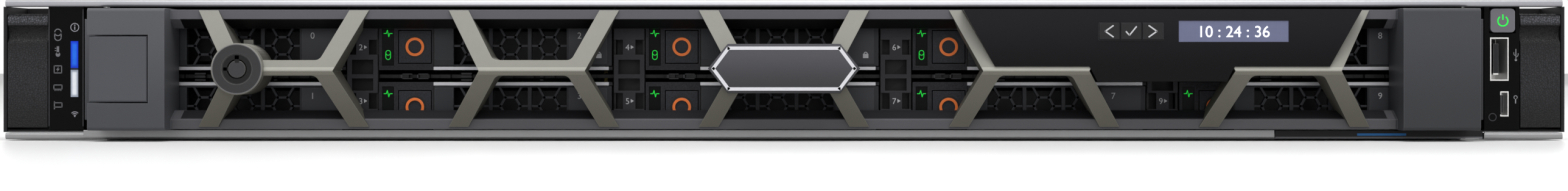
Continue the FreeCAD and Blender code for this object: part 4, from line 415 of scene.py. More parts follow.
def status_lights():
    """Blue bar above a white one, brightest along their middles."""
    f = Finish("status_lights", rough=0.3)
    blue = f.z.within(21.9, 31, 0.1)
    bars = (f.z.within(22.7, 29.5, 0.7) + f.z.within(13.6, 20.7, 0.5)).clipped()
    core = f.x.within(-219.75, -218.35, 0.45) * bars
    haze = f.grain(1.2, detail=2).ramp(0.2, 0.8, 0.85, 1.0)
    blues = f.mix(core * haze * 0.55, "#0230C4", "#2A86F0")
    whites = f.mix(core * haze, "#8E97A6", "#E4E8EE")
    lit = f.mix(blue, whites, blues)
    lit = f.mix(f.z.within(21.35, 21.95, 0.05), lit, "#0A1020")
    return f.feed(Base_Color=lit, Emission_Color=lit, Emission_Strength=0.22)


def bezel_paint():
    """Satin grey of the bezel's strips and end caps, graded darker towards the bottom as painted
    light, the right cap darker as painted shade, and the opening's inner faces near-black as painted
    shade.
    """
    f = Finish("bezel_paint")
    fine = f.grain(0.25, detail=3)
    # Painted light from above: the caps and strips are graded darker towards the bottom.
    cap = f.mix(f.z.ramp(6, 38), "#46474B", "#57585C")
    # Painted shade: the right cap is darker than the left.
    right = f.mix(f.z.ramp(6, 38), "#343538", "#434448")
    strip = f.mix(f.z.ramp(4, 36), "#4E4D51", "#5A595E")
    # Painted shade on the opening's inner faces, darkest on the upper ones.
    painted_shade_hollow = (abs(f.x) < 184.6) * f.z.within(6.5, 36.9, 0.1)
    base = f.mix(f.x > 187, f.mix(f.x < -187, strip, cap), right)
    base = f.mix(painted_shade_hollow, base, f.mix(f.z > 20, "#1D1D20", "#040405"))
    base = spread(f, base, fine * 0.6 + f.grain(14) * 0.4, 0.07)
    f.coat(base, "#8E8E94", 0.25, 0.46 + (fine - 0.5) * 0.12, 0.4)
    return f.relief(fine, 0.015)


def display_black():
    """Display housing: gloss black fading darker downwards, a painted reflection."""
    f = Finish("display_black", shine=0.08)
    swirl = f.grain(1.4, detail=3)
    # Painted reflection: lighter towards the top.
    base = spread(f, f.mix(f.z.ramp(20, 39.5), "#060608", "#19181C"), f.grain(9), 0.04)
    f.feed(Base_Color=base, Roughness=0.3 + swirl.ramp(0.5, 0.8, 0, 0.06))
    return f.relief(swirl, 0.001, round_edges=0.25)


def screen_glass():
    """Lit display: blue-grey with a faint dot raster."""
    f = Finish("screen_glass", rough=0.25)
    raster = ((f.x * 2.6) % 1).within(0.08, 0.92, 0.06) * ((f.z * 2.6) % 1).within(0.08, 0.92, 0.06)
    lit = spread(f, f.mix(raster * 0.35, "#5A5E78", "#70748F"), f.grain(6), 0.04)
    f.feed(Base_Color=lit, Emission_Color=lit, Emission_Strength=0.25)
    return f.relief(raster, 0.005, round_edges=0)


def lock_face(name, face):
    """Turned lock: dark satin face with rings about its axis, and a strut-grey barrel painted lighter
    towards its top as painted light.
    """
    f = Finish(name, rough=0.4, shine=0.3)
    low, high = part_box("lock_body")
    mid = (low + high) / 2 / MM
    across = f.add("ShaderNodeCombineXYZ", {}, {0: f.x - mid.x, 1: 0.0, 2: f.z - mid.z})
    radius = f.add("ShaderNodeVectorMath", {"operation": "LENGTH"}, {0: across}, result="Value")
    lines = {"W": radius, "Scale": 9.0, "Detail": 3.0}
    rings = f.add("ShaderNodeTexNoise", {"noise_dimensions": "1D"}, lines)
    front = f.facing((0, -1, 0)).ramp(0.6, 0.9) * (1 - radius.ramp(7.35, 7.5))
    # Painted light: the barrel is lighter towards its top.
    barrel = f.mix(f.z.ramp(mid.z - 6, mid.z + 6), "#5B5951", "#8C8B84")
    base = f.mix(front, barrel, spread(f, tint(face), rings, 0.14))
    f.coat(base, "#A9A8A4", 0.35, 0.4 + (rings - 0.5) * 0.16)
    return f.relief(rings, 0.006)


def plaque_face():
    """Blank plaque: smoke-dark brushed face, painted paler towards its top as painted light."""
    f = Finish("plaque_face", shine=0.3)
    lines = f.grain(0.12, detail=3, stretch=(0.02, 1, 1))
    # Painted light: the face is paler towards its top.
    base = spread(f, f.mix(f.z.ramp(15, 29), "#26262A", "#4A4A50"), lines, 0.12)
    f.coat(base, "#1B1B1E", 0.5, 0.36 + (lines - 0.5) * 0.1, 0.45, 8)
    return f.relief(lines, 0.006, round_edges=0.4)


def port_shell():
    """Port shells: a bright lip round a socket painted dark inside as shade, with a grey tongue."""
    f = Finish("port_shell", metal=0.7)
    lines = f.grain(0.16, detail=3, stretch=(1, 0.05, 1))
    tall = f.z.within(14.3, 31.2, 0.02)
    inside = f.x.within(218.5, 223.25, 0.05) * f.z.within(20.3, 30.8, 0.05)
    small = f.x.within(220.6, 222.6, 0.05) * f.z.within(7.6, 13.6, 0.05)
    lip = spread(f, tint("#D3D2D0"), lines, 0.08)
    # Painted shade inside the sockets.
    base = f.mix((inside * tall + small).clipped() * (f.y > -23), lip, "#1C1C1E")
    f.coat(base, "#F2F2F2", 0.3, 0.32 + (lines - 0.5) * 0.1, 0.2)
    return f.relief(lines, 0.004, round_edges=0.15)


def supply_case():
    """Power supply: zinc case, black pull strap, black inlet with bright pins."""
    f = Finish("supply_case", rough=0.46)
    crystal = f.crystals(3.5)
    rolled = f.grain(0.6, stretch=(1, 0.03, 1))
    fine = f.grain(0.5, detail=3)
    zinc = spread(f, tint("#94979B"), crystal * 0.6 + rolled * 0.4, 0.13)
    strap = spread(f, tint("#1B1B1D"), fine, 0.2)
    wide = abs(f.x)
    inlet = wide.within(157.9, 185.7, 0.02) * f.z.within(9.6, 29.9, 0.02)
    inlet = inlet * (f.y < SUPPLY_FACE - 0.05)
    pins = inlet * wide.within(163.5, 180.2, 0.02) * (f.y > SUPPLY_FACE - 15.4)
    black = ((f.y > SUPPLY_FACE + 0.1) * (wide > 179.5) + inlet).clipped()
    base = f.mix(pins * 0.8, f.mix(black, zinc, strap), "#B9B7AE")
    metal = (1 - black + pins).clipped() * 0.7
    f.coat(base, "#C9CBCE", 0.3, 0.46 + (crystal - 0.5) * 0.1, 0.4, Metallic=metal)
    return f.relief(crystal * 0.5 + fine * 0.5, 0.014)


def socket_shell():
    """Rear sockets: nickel rims round dark insides."""
    f = Finish("socket_shell", rough=0.34)
    lines = f.grain(0.16, detail=3, stretch=(1, 0.05, 1))
    inside = f.y < REAR_FACE + 0.25
    video = f.x > -50
    rim = f.mix(video, *(spread(f, tint(code), lines, 0.08) for code in ("#B4B2AE", "#A9A8A6")))
    base = f.mix(inside * (1 - video), rim, "#141416")
    f.feed(Base_Color=base, Metallic=(1 - inside) * 0.8, Roughness=0.34 + (lines - 0.5) * 0.1)
    return f.relief(lines, 0.004, round_edges=0.15)


def cage_grey():
    """Zinc of the drive cage, blackened over its front."""
    f = Finish("cage_grey", rough=0.45)
    crystal = f.crystals(3.0)
    rolled = f.grain(0.6, stretch=(0.03, 1, 1))
    zinc = spread(f, tint("#7B7D81"), crystal * 0.6 + rolled * 0.4, 0.14)
    behind = f.y > 4
    base = f.mix(behind, spread(f, tint("#0C0C0D"), rolled, 0.3), zinc)
    f.feed(Base_Color=base, Roughness=0.5 + (crystal - 0.5) * 0.1, Metallic=behind * 0.7)
    return f.relief(crystal * 0.5 + rolled * 0.5, 0.012)


def drive_case():
    """Drives in their carriers: front painted near-black as shade, brushed metal case behind."""
    f = Finish("drive_case", rough=0.42)
    lines = f.grain(0.16, detail=3, stretch=(1, 0.03, 1))
    metal = spread(f, tint("#8D9095"), lines * 0.6 + f.grain(24) * 0.4, 0.12)
    behind = f.y > 2
    # Painted shade: the front of the drives is near-black.
    base = f.mix(behind, "#060607", metal)
    f.feed(Base_Color=base, Roughness=0.42 + (lines - 0.5) * 0.1, Metallic=behind * 0.8)
    return f.relief(lines, 0.008)


def tag_black():
    """Information tag: black lip with a paler lower edge."""
    f = Finish("tag_black")
    fine = f.grain(0.25, detail=3)
    base = f.mix(f.z.ramp(0.9, 0.55), "#121214", "#7E7E82")
    f.feed(Base_Color=spread(f, base, fine, 0.12), Roughness=0.42 + (fine - 0.5) * 0.1)
    return f.relief(fine, 0.01, round_edges=0.15)


def fan_plastic(name, colour):
    return moulded(name, colour, rough=0.42, grain=0.6, relief=0.01)


# ------------------------------------------------------------------- making
CAPITAL = 0.72  # height of a figure as a share of the font's size
LAP = 0.6  # how far a line runs past its ends, as a share of its half width
WELD = 1e-8


def spot(x, z, radius, angle):
    """Point at a distance and an angle in radians from a middle."""
    return x + radius * math.cos(angle), z + radius * math.sin(angle)


def corners(left, low, right, high):
    """Corners of a rectangle, anticlockwise from the lower left."""
    return [(left, low), (right, low), (right, high), (left, high)]


def prism(mesh, near, back):
    """Solid between two outlines that have their corners in the same order."""
    near, back = ([mesh.verts.new(corner) for corner in outline] for outline in (near, back))
    mesh.faces.new(near)
    mesh.faces.new(back[::-1])
    for i in range(len(near)):
        j = (i + 1) % len(near)
        mesh.faces.new((near[j], near[i], back[i], back[j]))


class Shapes:
    """Thin raised shapes that face the front or the rear, gathered into one piece.

    They are drawn in millimetres across (X) and up (Z); front is where they
    start and thick is how far they stand out of it.
    """

    def __init__(self, front, thick=0.05, rear=False, mesh=None):
        self.mesh = mesh or bmesh.new()
        self.front, self.thick, self.way = front, thick, 1 if rear else -1
        self.out = self.front + self.way * self.thick

    def patch(self, outline):
        """Flat shape with a closed outline, as a slab."""
        if sum(a[0] * b[1] - b[0] * a[1] for a, b in zip(outline, outline[1:] + outline[:1])) < 0:
            outline = outline[::-1]
        prism(self.mesh, *(
            [(x * MM, y * MM, z * MM) for x, z in outline] for y in (self.out, self.front)
        ))
        return self

    def block(self, left, low, right, high):
        return self.patch(corners(left, low, right, high))

    def frame(self, left, low, right, high, width):
        """Line of even width round a rectangle."""
        return self.line(corners(left, low, right, high), width, closed=True)

    def line(self, points, width, closed=False):
        """Line of even width through points, as joined slabs with square ends."""
        pairs = list(zip(points, points[1:] + (points[:1] if closed else [])))
        for (ax, az), (bx, bz) in pairs[:None if closed else len(points) - 1]:
            long = math.hypot(bx - ax, bz - az)
            ux, uz = (bx - ax) / long * width / 2, (bz - az) / long * width / 2
            ax, az, bx, bz = ax - ux * LAP, az - uz * LAP, bx + ux * LAP, bz + uz * LAP
            self.patch([
                (ax + uz, az - ux), (bx + uz, bz - ux), (bx - uz, bz + ux), (ax - uz, az + ux),
            ])
        return self

    def ring(self, x, z, outer, inner, start=0.0, sweep=360.0, steps=40):
        """Flat ring or arc, angles in degrees from the right, anticlockwise."""
        whole = abs(sweep - 360) < 0.01
        angles = [math.radians(start + sweep * i / steps) for i in range(steps + (0 if whole else 1))]
        loops = []
        for r, y in ((outer, self.out), (inner, self.out), (inner, self.front), (outer, self.front)):
            circle = (spot(x, z, r, a) for a in angles)
            loops.append([self.mesh.verts.new((u * MM, y * MM, v * MM)) for u, v in circle])
        count = len(angles)
        for first, second in zip(loops, loops[1:] + loops[:1]):
            for i in range(count if whole else count - 1):
                j = (i + 1) % count
                self.mesh.faces.new((first[i], first[j], second[j], second[i]))
        if not whole:
            self.mesh.faces.new([loop[0] for loop in loops])
            self.mesh.faces.new([loop[-1] for loop in loops][::-1])
        return self

    def disc(self, x, z, radius, steps=24):
        return self.patch([spot(x, z, radius, math.tau * i / steps) for i in range(steps)])

    def text(self, words, x, z, tall):
        """Plain characters, the middle of their height and width at x, z."""
        curve = bpy.data.curves.new("letters", "FONT")
        curve.body, curve.size = words, tall / CAPITAL
        curve.align_x, curve.extrude = "CENTER", self.thick / 2
        writing = bpy.data.objects.new("letters", curve)
        bpy.context.scene.collection.objects.link(writing)
        bpy.context.view_layer.update()
        finished = writing.evaluated_get(bpy.context.evaluated_depsgraph_get())
        flat = bpy.data.meshes.new_from_object(finished)
        start = len(self.mesh.verts)
        self.mesh.from_mesh(flat)
        self.mesh.verts.ensure_lookup_table()
        middle = self.front + self.way * self.thick / 2
        for vert in self.mesh.verts[start:]:
            across, up, out = vert.co
            vert.co = ((x - self.way * across) * MM, (middle - out) * MM, (z - tall / 2 + up) * MM)
        bpy.data.objects.remove(writing)
        bpy.data.curves.remove(curve)
        bpy.data.meshes.remove(flat)
        return self

    def piece(self, name, finish, body, slot):
        return piece(name, self.mesh, finish, body)


def linked(name, mesh):
    """Object in the scene with this mesh, which is used up."""
    data = bpy.data.meshes.new(name)
    mesh.to_mesh(data)
    mesh.free()
    made = bpy.data.objects.new(name, data)
    bpy.context.scene.collection.objects.link(made)
    return made


def piece(name, mesh, finish, body):
    """Named object from a mesh being made, riding on a body."""
    bmesh.ops.remove_doubles(mesh, verts=mesh.verts, dist=WELD)
    bmesh.ops.recalc_face_normals(mesh, faces=mesh.faces)
    made = linked(name, mesh)
    made.data.materials.append(finish.material)
    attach(made, body)
    return made


def dressed(finish, *nodes):
    """Give carried-over nodes their finish."""
    for name in nodes:
        for slot in NODES[name].material_slots:
            slot.material = finish.material


# ------------------------------------------------------------ nodes' finishes
trim = bright_trim()
duct_black = fan_plastic("duct_black", "#1B1B1D")
struts_grey = lattice_grey()
rear_zinc = sheet_steel("rear_zinc", "#9FA2A6", spangle=4)
handle_dark = moulded(
    "handle_dark", "#2A2B2F", grain=0.3, relief=0.04, mottle=0.16, wear=0.3, worn="#66676D"
)
plate_black = moulded(
    "plate_black", "#353438", 0.62, grain=0.3, relief=0.07, mottle=0.35, wear=0.2, worn="#77757B"
)
release_grey = moulded("release_grey", "#4F5055", 0.45, 0.25, 0.02, worn="#9A9AA0", wear=0.3)
keys_black = moulded("keys_black", "#151517", 0.34, 0.2, 0.01, worn="#5A5A60", wear=0.25)
lever_orange = moulded("lever_orange", "#C4501B", 0.42, 0.25, 0.02, worn="#E89A70", wear=0.2)
touch_blue = moulded("touch_blue", "#1F63B4", 0.4, 0.25, 0.02, worn="#7FB0E4", wear=0.2)
ear_black = moulded("ear_black", "#141416", grain=0.5, worn="#55555A", wear=0.2)

dressed(sheet_steel("tray_zinc", "#95989C"), "chassis_tray")
dressed(trim, "front_trims")
dressed(ear_black, "ear_right", "ear_left")
dressed(piano("panel_black"), "status_panel", "io_panel")
dressed(status_lights(), "status_light")
dressed(port_shell(), "front_ports")
dressed(socket_shell(), "rear_ports")
dressed(moulded("power_grey", "#6E6D73", 0.38, 0.2, 0.01), "power_button")
dressed(leather("latch_black"), "latch_right", "latch_left")
dressed(tag_black(), "info_tag")
dressed(bezel_paint(), "bezel_frame")
dressed(release_grey, "release_button")
dressed(struts_grey, "bezel_lattice")
dressed(plaque_face(), "bezel_badge")
dressed(lock_face("lock_ring", "#232325"), "lock_body")
dressed(lock_face("lock_core_face", "#2D2C2F"), "lock_core")
dressed(display_black(), "lcd_housing")
dressed(screen_glass(), "lcd_screen")
dressed(keys_black, "lcd_left_button", "lcd_select_button", "lcd_right_button")
dressed(cage_grey(), "drive_cage")
dressed(plate_black, "bay_number_plates")
dressed(carrier_plastic(), "drive_carriers")
dressed(handle_dark, "carrier_handles")
dressed(drive_case(), "disk_drives")
dressed(eject_plastic(), *(f"drive_button_{n}" for n in range(10)))
dressed(board("green_board"), "backplane", "motherboard", "riser_cards")
dressed(duct_black, "fan_housings")
dressed(fan_plastic("rotor_black", "#26262A"), *(f"fan_rotor_{n}" for n in range(1, 6)))
dressed(brushed("heat_sink_fins", "#B9BBBF", 0.32, along=(1, 0.04, 1)), "heat_sinks")
dressed(board("memory_board", "#123B2A"), "memory_modules")
dressed(moulded("shroud_black", "#1F1F22", 0.35, 0.8, 0.01), "air_shroud")
dressed(rear_zinc, "rear_panel")
dressed(touch_blue, "id_button", "cover_latch_lock")
dressed(supply_case(), "psu_1", "psu_2")
dressed(lever_orange, "psu_1_lever", "psu_2_lever")
dressed(sheet_steel("cover_zinc", "#9DA0A4", spangle=7), "top_cover")
dressed(moulded("latch_grey", "#2A2A2E", 0.4, 0.3, 0.02), "cover_latch_handle")

# ------------------------------------------------------------- front details
PALE = ink("pale_ink", "#C9C9CC")
GREY = ink("grey_ink", "#6E6E72")


def status_icons():
    """Grey pictures down the left panel: drive, heat, supply, memory and card."""
    marks = Shapes(PANEL_FACE, 0.04)
    x = -224.2
    marks.ring(x, 32.9, 1.15, 0.85).ring(x, 31.4, 1.15, 0.85, 180, 180)
    for side in (x - 1.0, x + 1.0):
        marks.line([(side, 31.4), (side, 32.9)], 0.3)
    marks.line([(x, 26.6), (x, 28.4)], 0.75).disc(x, 26.1, 0.72)
    for z in (28.0, 27.3):
        marks.line([(x - 0.9, z), (x - 0.55, z)], 0.22)
    marks.frame(x - 1.15, 20.4, x + 1.15, 22.6, 0.26)
    flash = (0.15, 22.3), (-0.55, 21.35), (-0.1, 21.35), (-0.25, 20.75), (0.55, 21.7), (0.1, 21.7)
    marks.patch([(x + u, z) for u, z in flash])
    marks.frame(x - 1.25, 15.4, x + 1.25, 16.7, 0.26)
    for step in range(4):
        marks.line([(x - 0.9 + 0.6 * step, 15.3), (x - 0.9 + 0.6 * step, 14.95)], 0.24)
    marks.line([(x - 1.1, 11.6), (x - 1.1, 9.3)], 0.28)
    marks.line([(x - 1.1, 11.2), (x + 1.25, 11.2), (x + 1.25, 9.9), (x - 1.1, 9.9)], 0.26)
    marks.piece("status_icons", GREY, "chassis", "light_pipe")
    pale = Shapes(PANEL_FACE, 0.04)
    x = -219.0
    pale.ring(x, 34.45, 1.35, 1.12).line([(x, 33.8), (x, 34.6)], 0.3).disc(x, 35.1, 0.2, 12)
    for radius in (0.55, 1.05, 1.55):
        pale.ring(x, 7.0, radius, radius - 0.24, 45, 90, 12)
    pale.disc(x, 7.05, 0.24, 12)
    pale.piece("status_marks", ink("mark_ink", "#9A9AA2"), "chassis", "light_pipe")
    rims = Shapes(PANEL_FACE, 0.03)
    for side in (-226.95, -216.45):
        rims.block(side - 0.1, 4.0, side + 0.1, 40.0)
    rims.piece("status_rims", ink("rim_ink", "#4E4E52"), "chassis", "light_pipe")


def port_icons():
    """Port pictures on the right panel, and the power key's own."""
    marks = Shapes(PANEL_FACE, 0.04)
    marks.line([(226.0, 24.5), (226.0, 27.7)], 0.24).disc(226.0, 24.4, 0.36, 12)
    marks.line([(226.0, 25.2), (226.7, 25.8), (226.7, 26.4)], 0.2)
    marks.line([(226.0, 25.6), (225.35, 26.1), (225.35, 26.7)], 0.2)
    marks.ring(225.9, 12.9, 0.62, 0.4, -60, 300, 20).line([(225.9, 12.3), (225.9, 11.1)], 0.34)
    marks.piece("port_icons", ink("port_ink", "#8C8C90"), "chassis", "light_pipe")
    mid = (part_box("power_button")[0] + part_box("power_button")[1]) / 2 / MM
    sign = Shapes(front_of("power_button"), 0.04)
    sign.ring(mid.x, mid.z - 0.15, 1.75, 1.32, 125, 290, 30)
    sign.line([(mid.x, mid.z + 0.3), (mid.x, mid.z + 1.75)], 0.42)
    sign.piece("power_sign", lamp("power_green", "#21C03F", 0.45), "power_button", "light_pipe")
    # Painted highlight: a grey ring for the rim of a dimple in the panel.
    dimple = Shapes(PANEL_FACE, 0.03)
    dimple.ring(218.8, 6.8, 1.25, 1.0)
    dimple.piece("panel_dimple", ink("dimple_rim_highlight", "#3A3A3E"), "chassis", "gloss_black")


def carrier_details():
    """Lit windows, orange rings, bay numbers and padlocks of the ten carriers."""
    inset = CARRIER_FACE + 0.6
    smoke, beat, disks = (Shapes(face) for face in (inset, inset - 0.05, inset - 0.05))
    labels, numbers = Shapes(CARRIER_FACE, 0.04), Shapes(CARRIER_FACE - 0.04, 0.03)
    tabs, gaps = Shapes(CARRIER_FACE), Shapes(CARRIER_FACE, 0.06)
    pulse = (-1.3, 0), (-0.6, 0), (-0.25, 1.0), (0.2, -1.0), (0.5, 0), (1.3, 0)
    for number, (left, low) in enumerate(BAYS):
        high = low + BLOCK
        smoke.block(left + 1.0, low + 1.4, left + 4.6, high - 1.4)
        x, z = left + 2.8, high - 3.6
        beat.line([(x + u, z + v) for u, v in pulse], 0.24)
        x, z = left + 2.8, low + 4.6
        disks.ring(x, z + 0.75, 0.85, 0.63, steps=20).ring(x, z - 0.6, 0.85, 0.63, 180, 180, 12)
        for side in (x - 0.74, x + 0.74):
            disks.line([(side, z + 0.7), (side, z - 0.6)], 0.22)
        tabs.block(left + 17.3, low + 3.2, left + 23.1, high - 1.9)
        gaps.block(left + 17.0, low + 1.3, left + 17.32, high - 1.3)
        labels.block(left + 59.0, low + 1.9, left + 71.0, high - 1.8)
        numbers.text(str(number), left + 62.4, high - 4.2, 2.0)
        x, z = left + 68.4, low + 4.6
        numbers.block(x - 0.85, z - 0.9, x + 0.85, z + 0.45)
        numbers.ring(x, z + 0.45, 0.62, 0.36, 0, 180, 12)
    smoke.piece("light_windows", piano("window_smoke", "#0A0B0C", rough=0.2), "chassis", "light_pipe")
    beat.piece("activity_lights", lamp("activity_green", "#12B436", 0.5), "chassis", "light_pipe")
    disks.piece("drive_lights", lamp("drive_green", "#12B436", 0.5), "chassis", "light_pipe")
    tab_grey = moulded("tab_grey", "#2E3034", grain=0.3, mottle=0.12)
    tabs.piece("handle_tabs", tab_grey, "chassis", "grey_plastic")
    # Painted shade in the gaps beside the handle tabs.
    gaps.piece("handle_gaps", ink("gap_painted_shade", "#060607"), "chassis", "black_plastic")
    label_grey = moulded("label_grey", "#3A3B40", 0.45, 0.3, 0.01)
    labels.piece("handle_labels", label_grey, "chassis", "grey_plastic")
    numbers.piece("handle_numbers", PALE, "chassis", "grey_plastic")
    orange = moulded("ring_orange", "#FF8238", 0.4, 0.2, 0.01)
    for number, (left, low) in enumerate(BAYS):
        x, z, body = left + RELEASE_IN, low + BLOCK - RELEASE_DOWN, f"drive_button_{number}"
        rim = Shapes(CARRIER_FACE, 0.12).ring(x, z, 2.9, 2.05, steps=48)
        rim.piece(f"release_ring_{number}", orange, body, "orange_plastic")
        dish = Shapes(CARRIER_FACE, 0.04).ring(x, z, 3.55, 2.95, steps=48)
        shade = ink(f"shade_{number}", "#101012")
        dish.piece(f"release_shade_{number}", shade, body, "black_plastic")


def bay_numbers():
    """Digits and arrows on the necks of the number plates."""
    digits = Shapes(PLATE_FACE, 0.04)
    for column in range(4):
        middle = BAY_LEFT - 5.2 + BAY_PITCH * (column + 1)
        for row, number in ((1, 2 * column + 2), (0, 2 * column + 3)):
            z = ROW_LOW + ROW_RISE * row + (7.1 if row else 9.1)
            digits.text(str(number), middle - 0.5, z, 1.9)
            digits.patch([(middle + 0.5, z - 0.6), (middle + 1.5, z), (middle + 0.5, z + 0.6)])
    digits.piece("bay_digits", PALE, "chassis", "plate_grey")


def display_details():
    """Signs on the display's keys and plain digits on its screen."""
    for name in KEYS:
        low, high = box(f"lcd_{name}_button")
        x, z = (low.x + high.x) / 2, (low.z + high.z) / 2
        sign = Shapes(low.y, 0.04)
        if name == "select":
            sign.line([(x - 1.5, z - 0.1), (x - 0.5, z - 1.2), (x + 1.6, z + 1.4)], 0.42)
        else:
            turn = 1 if name == "right" else -1
            ends, tip = x - 1.2 * turn, x + 1.2 * turn
            sign.line([(ends, z + 1.7), (tip, z), (ends, z - 1.7)], 0.42)
        sign.piece(f"key_sign_{name}", PALE, f"lcd_{name}_button", "black_plastic")
    low, high = box("lcd_screen")
    words = Shapes(low.y, 0.03)
    words.text("10 : 24 : 36", (low.x + high.x) / 2, (low.z + high.z) / 2, 3.5)
    words.piece("screen_digits", lamp("screen_white", "#F2F4FF", 0.6), "bezel", "screen")


def tag_line():
    """Blue line on the information tag."""
    mark = Shapes(front_of("info_tag"), 0.03)
    mark.block(176.9, 1.1, 192.0, 1.8)
    mark.piece("tag_line", ink("tag_blue", "#3D8EDB"), "info_tag", "blue_plastic")


def lower_lip():
    """Bright rolled edge of the tray below the bezel, open where the tag slides."""
    tag_low, tag_high = box("info_tag")
    lip = Shapes(box("front_trims")[0].y + 0.55, 0.6)
    lip.block(-LIP_HALF, 0.6, tag_low.x - 0.4, LIP_HIGH)
    lip.block(tag_high.x + 0.4, 0.6, LIP_HALF, LIP_HIGH)
    lip.piece("tray_lip", trim, "chassis", "trim_silver")


def open_handles():
    """Carrier handles with three open windows, each with a hexagon on six thin stubs."""
    back = CARRIER_FACE + HANDLE_DEEP
    shell, webs = Shapes(back, HANDLE_DEEP), Shapes(back, HANDLE_DEEP - 0.5)
    starts = [23.3 + WINDOW_PITCH * n for n in range(3)]
    for left, low in BAYS:
        shell.block(left + 17.2, low + 1.3, left + starts[0], low + 13.7)
        shell.block(left + starts[-1] + WINDOW_WIDE, low + 1.3, left + 72.4, low + 13.7)
        for first, second in zip(starts, starts[1:]):
            shell.block(left + first + WINDOW_WIDE, low + 1.7, left + second, low + 13.3)
        first, last = left + starts[0], left + starts[-1] + WINDOW_WIDE
        for edge in (1.3, 13.3):
            shell.block(first, low + edge, last, low + edge + 0.4)
        for start in starts:
            x, z = left + start + WINDOW_WIDE / 2, low + 7.5
            turns = [math.radians(60 * n) for n in range(6)]
            hexagon = [spot(x, z, HEX, turn) for turn in turns]
            webs.line(hexagon, WEB, closed=True)
            for turn, (a, b) in zip(turns, hexagon):
                sideways = (WINDOW_WIDE / 2 - abs(a - x)) / max(abs(math.cos(turn)), 0.01)
                upwards = (5.8 - abs(b - z)) / max(abs(math.sin(turn)), 0.01)
                webs.line([(a, b), spot(a, b, min(sideways, upwards), turn)], WEB * 0.9)
    front = shell.piece("handle_frames", handle_dark, "chassis", "grey_plastic")
    web_dark = moulded("web_dark", "#323338", grain=0.25, worn="#66676D", wear=0.3)
    web = webs.piece("handle_webs", web_dark, "chassis", "grey_plastic")
    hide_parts("carrier_handles")
    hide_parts("carrier_handles")


def bay_springs():
    """Small earthing fingers and stops in the slot between the two rows."""
    fingers = Shapes(-15.2, 0.5)
    for left, _ in BAYS[::2]:
        for z in (18.2, 19.2, 20.2):
            fingers.block(left + 25.4, z - 0.22, left + 28.8, z + 0.22)
            fingers.block(left + 50.0, z - 0.2, left + 51.0, z + 0.2)
        for u in (6.6, 11.6):
            for z in (18.5, 19.9):
                fingers.block(left + u, z, left + u + 3.6, z + 0.3)
            fingers.block(left + u, 18.5, left + u + 0.5, 20.2)
    finger_grey = moulded("finger_grey", "#37373A", 0.45, worn="#77777A")
    fingers.piece("bay_springs", finger_grey, "chassis", "plate_grey")


def lock_axis():
    """Middle of the lock's round flange, across and up."""
    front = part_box("lock_body")[0].y
    rim = [v.co for v in NODES["lock_body"].data.vertices if v.co.y < front + 0.1 * MM]
    return [(min(side) + max(side)) / 2 for side in ([c.x for c in rim], [c.z for c in rim])]


def lock_details():
    """Keyway of the lock: a ring slot with two notches, painted black as shade."""
    x, z = (c / MM for c in lock_axis())
    # Painted shade in the keyway's slot and notches.
    slot = Shapes(front_of("lock_core"))
    slot.ring(x, z, 4.35, 3.0, steps=48)
    slot.block(x - 0.65, z + 1.9, x + 0.65, z + 4.1).block(x - 4.1, z - 0.5, x - 2.6, z + 0.5)
    slot.piece("key_slot", ink("slot_painted_shade", "#050505"), "lock_core", "chrome_lock")
    rim = Shapes(front_of("lock_body"), 0.03)
    rim.ring(x, z, 7.5, 7.3, steps=64)
    rim.piece("lock_rim", ink("rim_grey", "#6E6D70"), "bezel", "chrome_lock")


def plaque_border():
    """Thin off-white line inside the plaque's edge, on an otherwise bare face."""
    low, high = box("bezel_badge")
    mid, half, tall = (low.z + high.z) / 2, (high.x - low.x) / 2, (high.z - low.z) / 2
    tip, cut, top, foot = half - 1.6, half - 6.2, mid + tall - 1.3, mid - tall + 1.3
    line = Shapes(low.y)
    outer = [(-tip, mid), (-cut, top), (cut, top), (tip, mid), (cut, foot), (-cut, foot)]
    line.line(outer, 1.0, closed=True)
    line.piece("plaque_border", ink("plaque_white", "#DEDEE3", rough=0.35), "bezel", "plaque")


def key_borders():
    """Thin raised borders round the display's three keys."""
    lines = Shapes(front_of("lcd_housing"))
    for name in KEYS:
        low, high = box(f"lcd_{name}_button")
        lines.frame(low.x - 0.2, low.z - 0.2, high.x + 0.2, high.z + 0.2, 0.22)
    lines.piece("key_borders", ink("border_grey", "#2C2C2F"), "bezel", "black_plastic")


def screw_head(shapes, recesses, x, z, radius=2.3):
    """Flat screw head with a cross recess painted on as shade."""
    shapes.disc(x, z, radius)
    recesses.block(x - radius * 0.6, z - 0.28, x + radius * 0.6, z + 0.28)
    recesses.block(x - 0.28, z - radius * 0.6, x + 0.28, z + radius * 0.6)


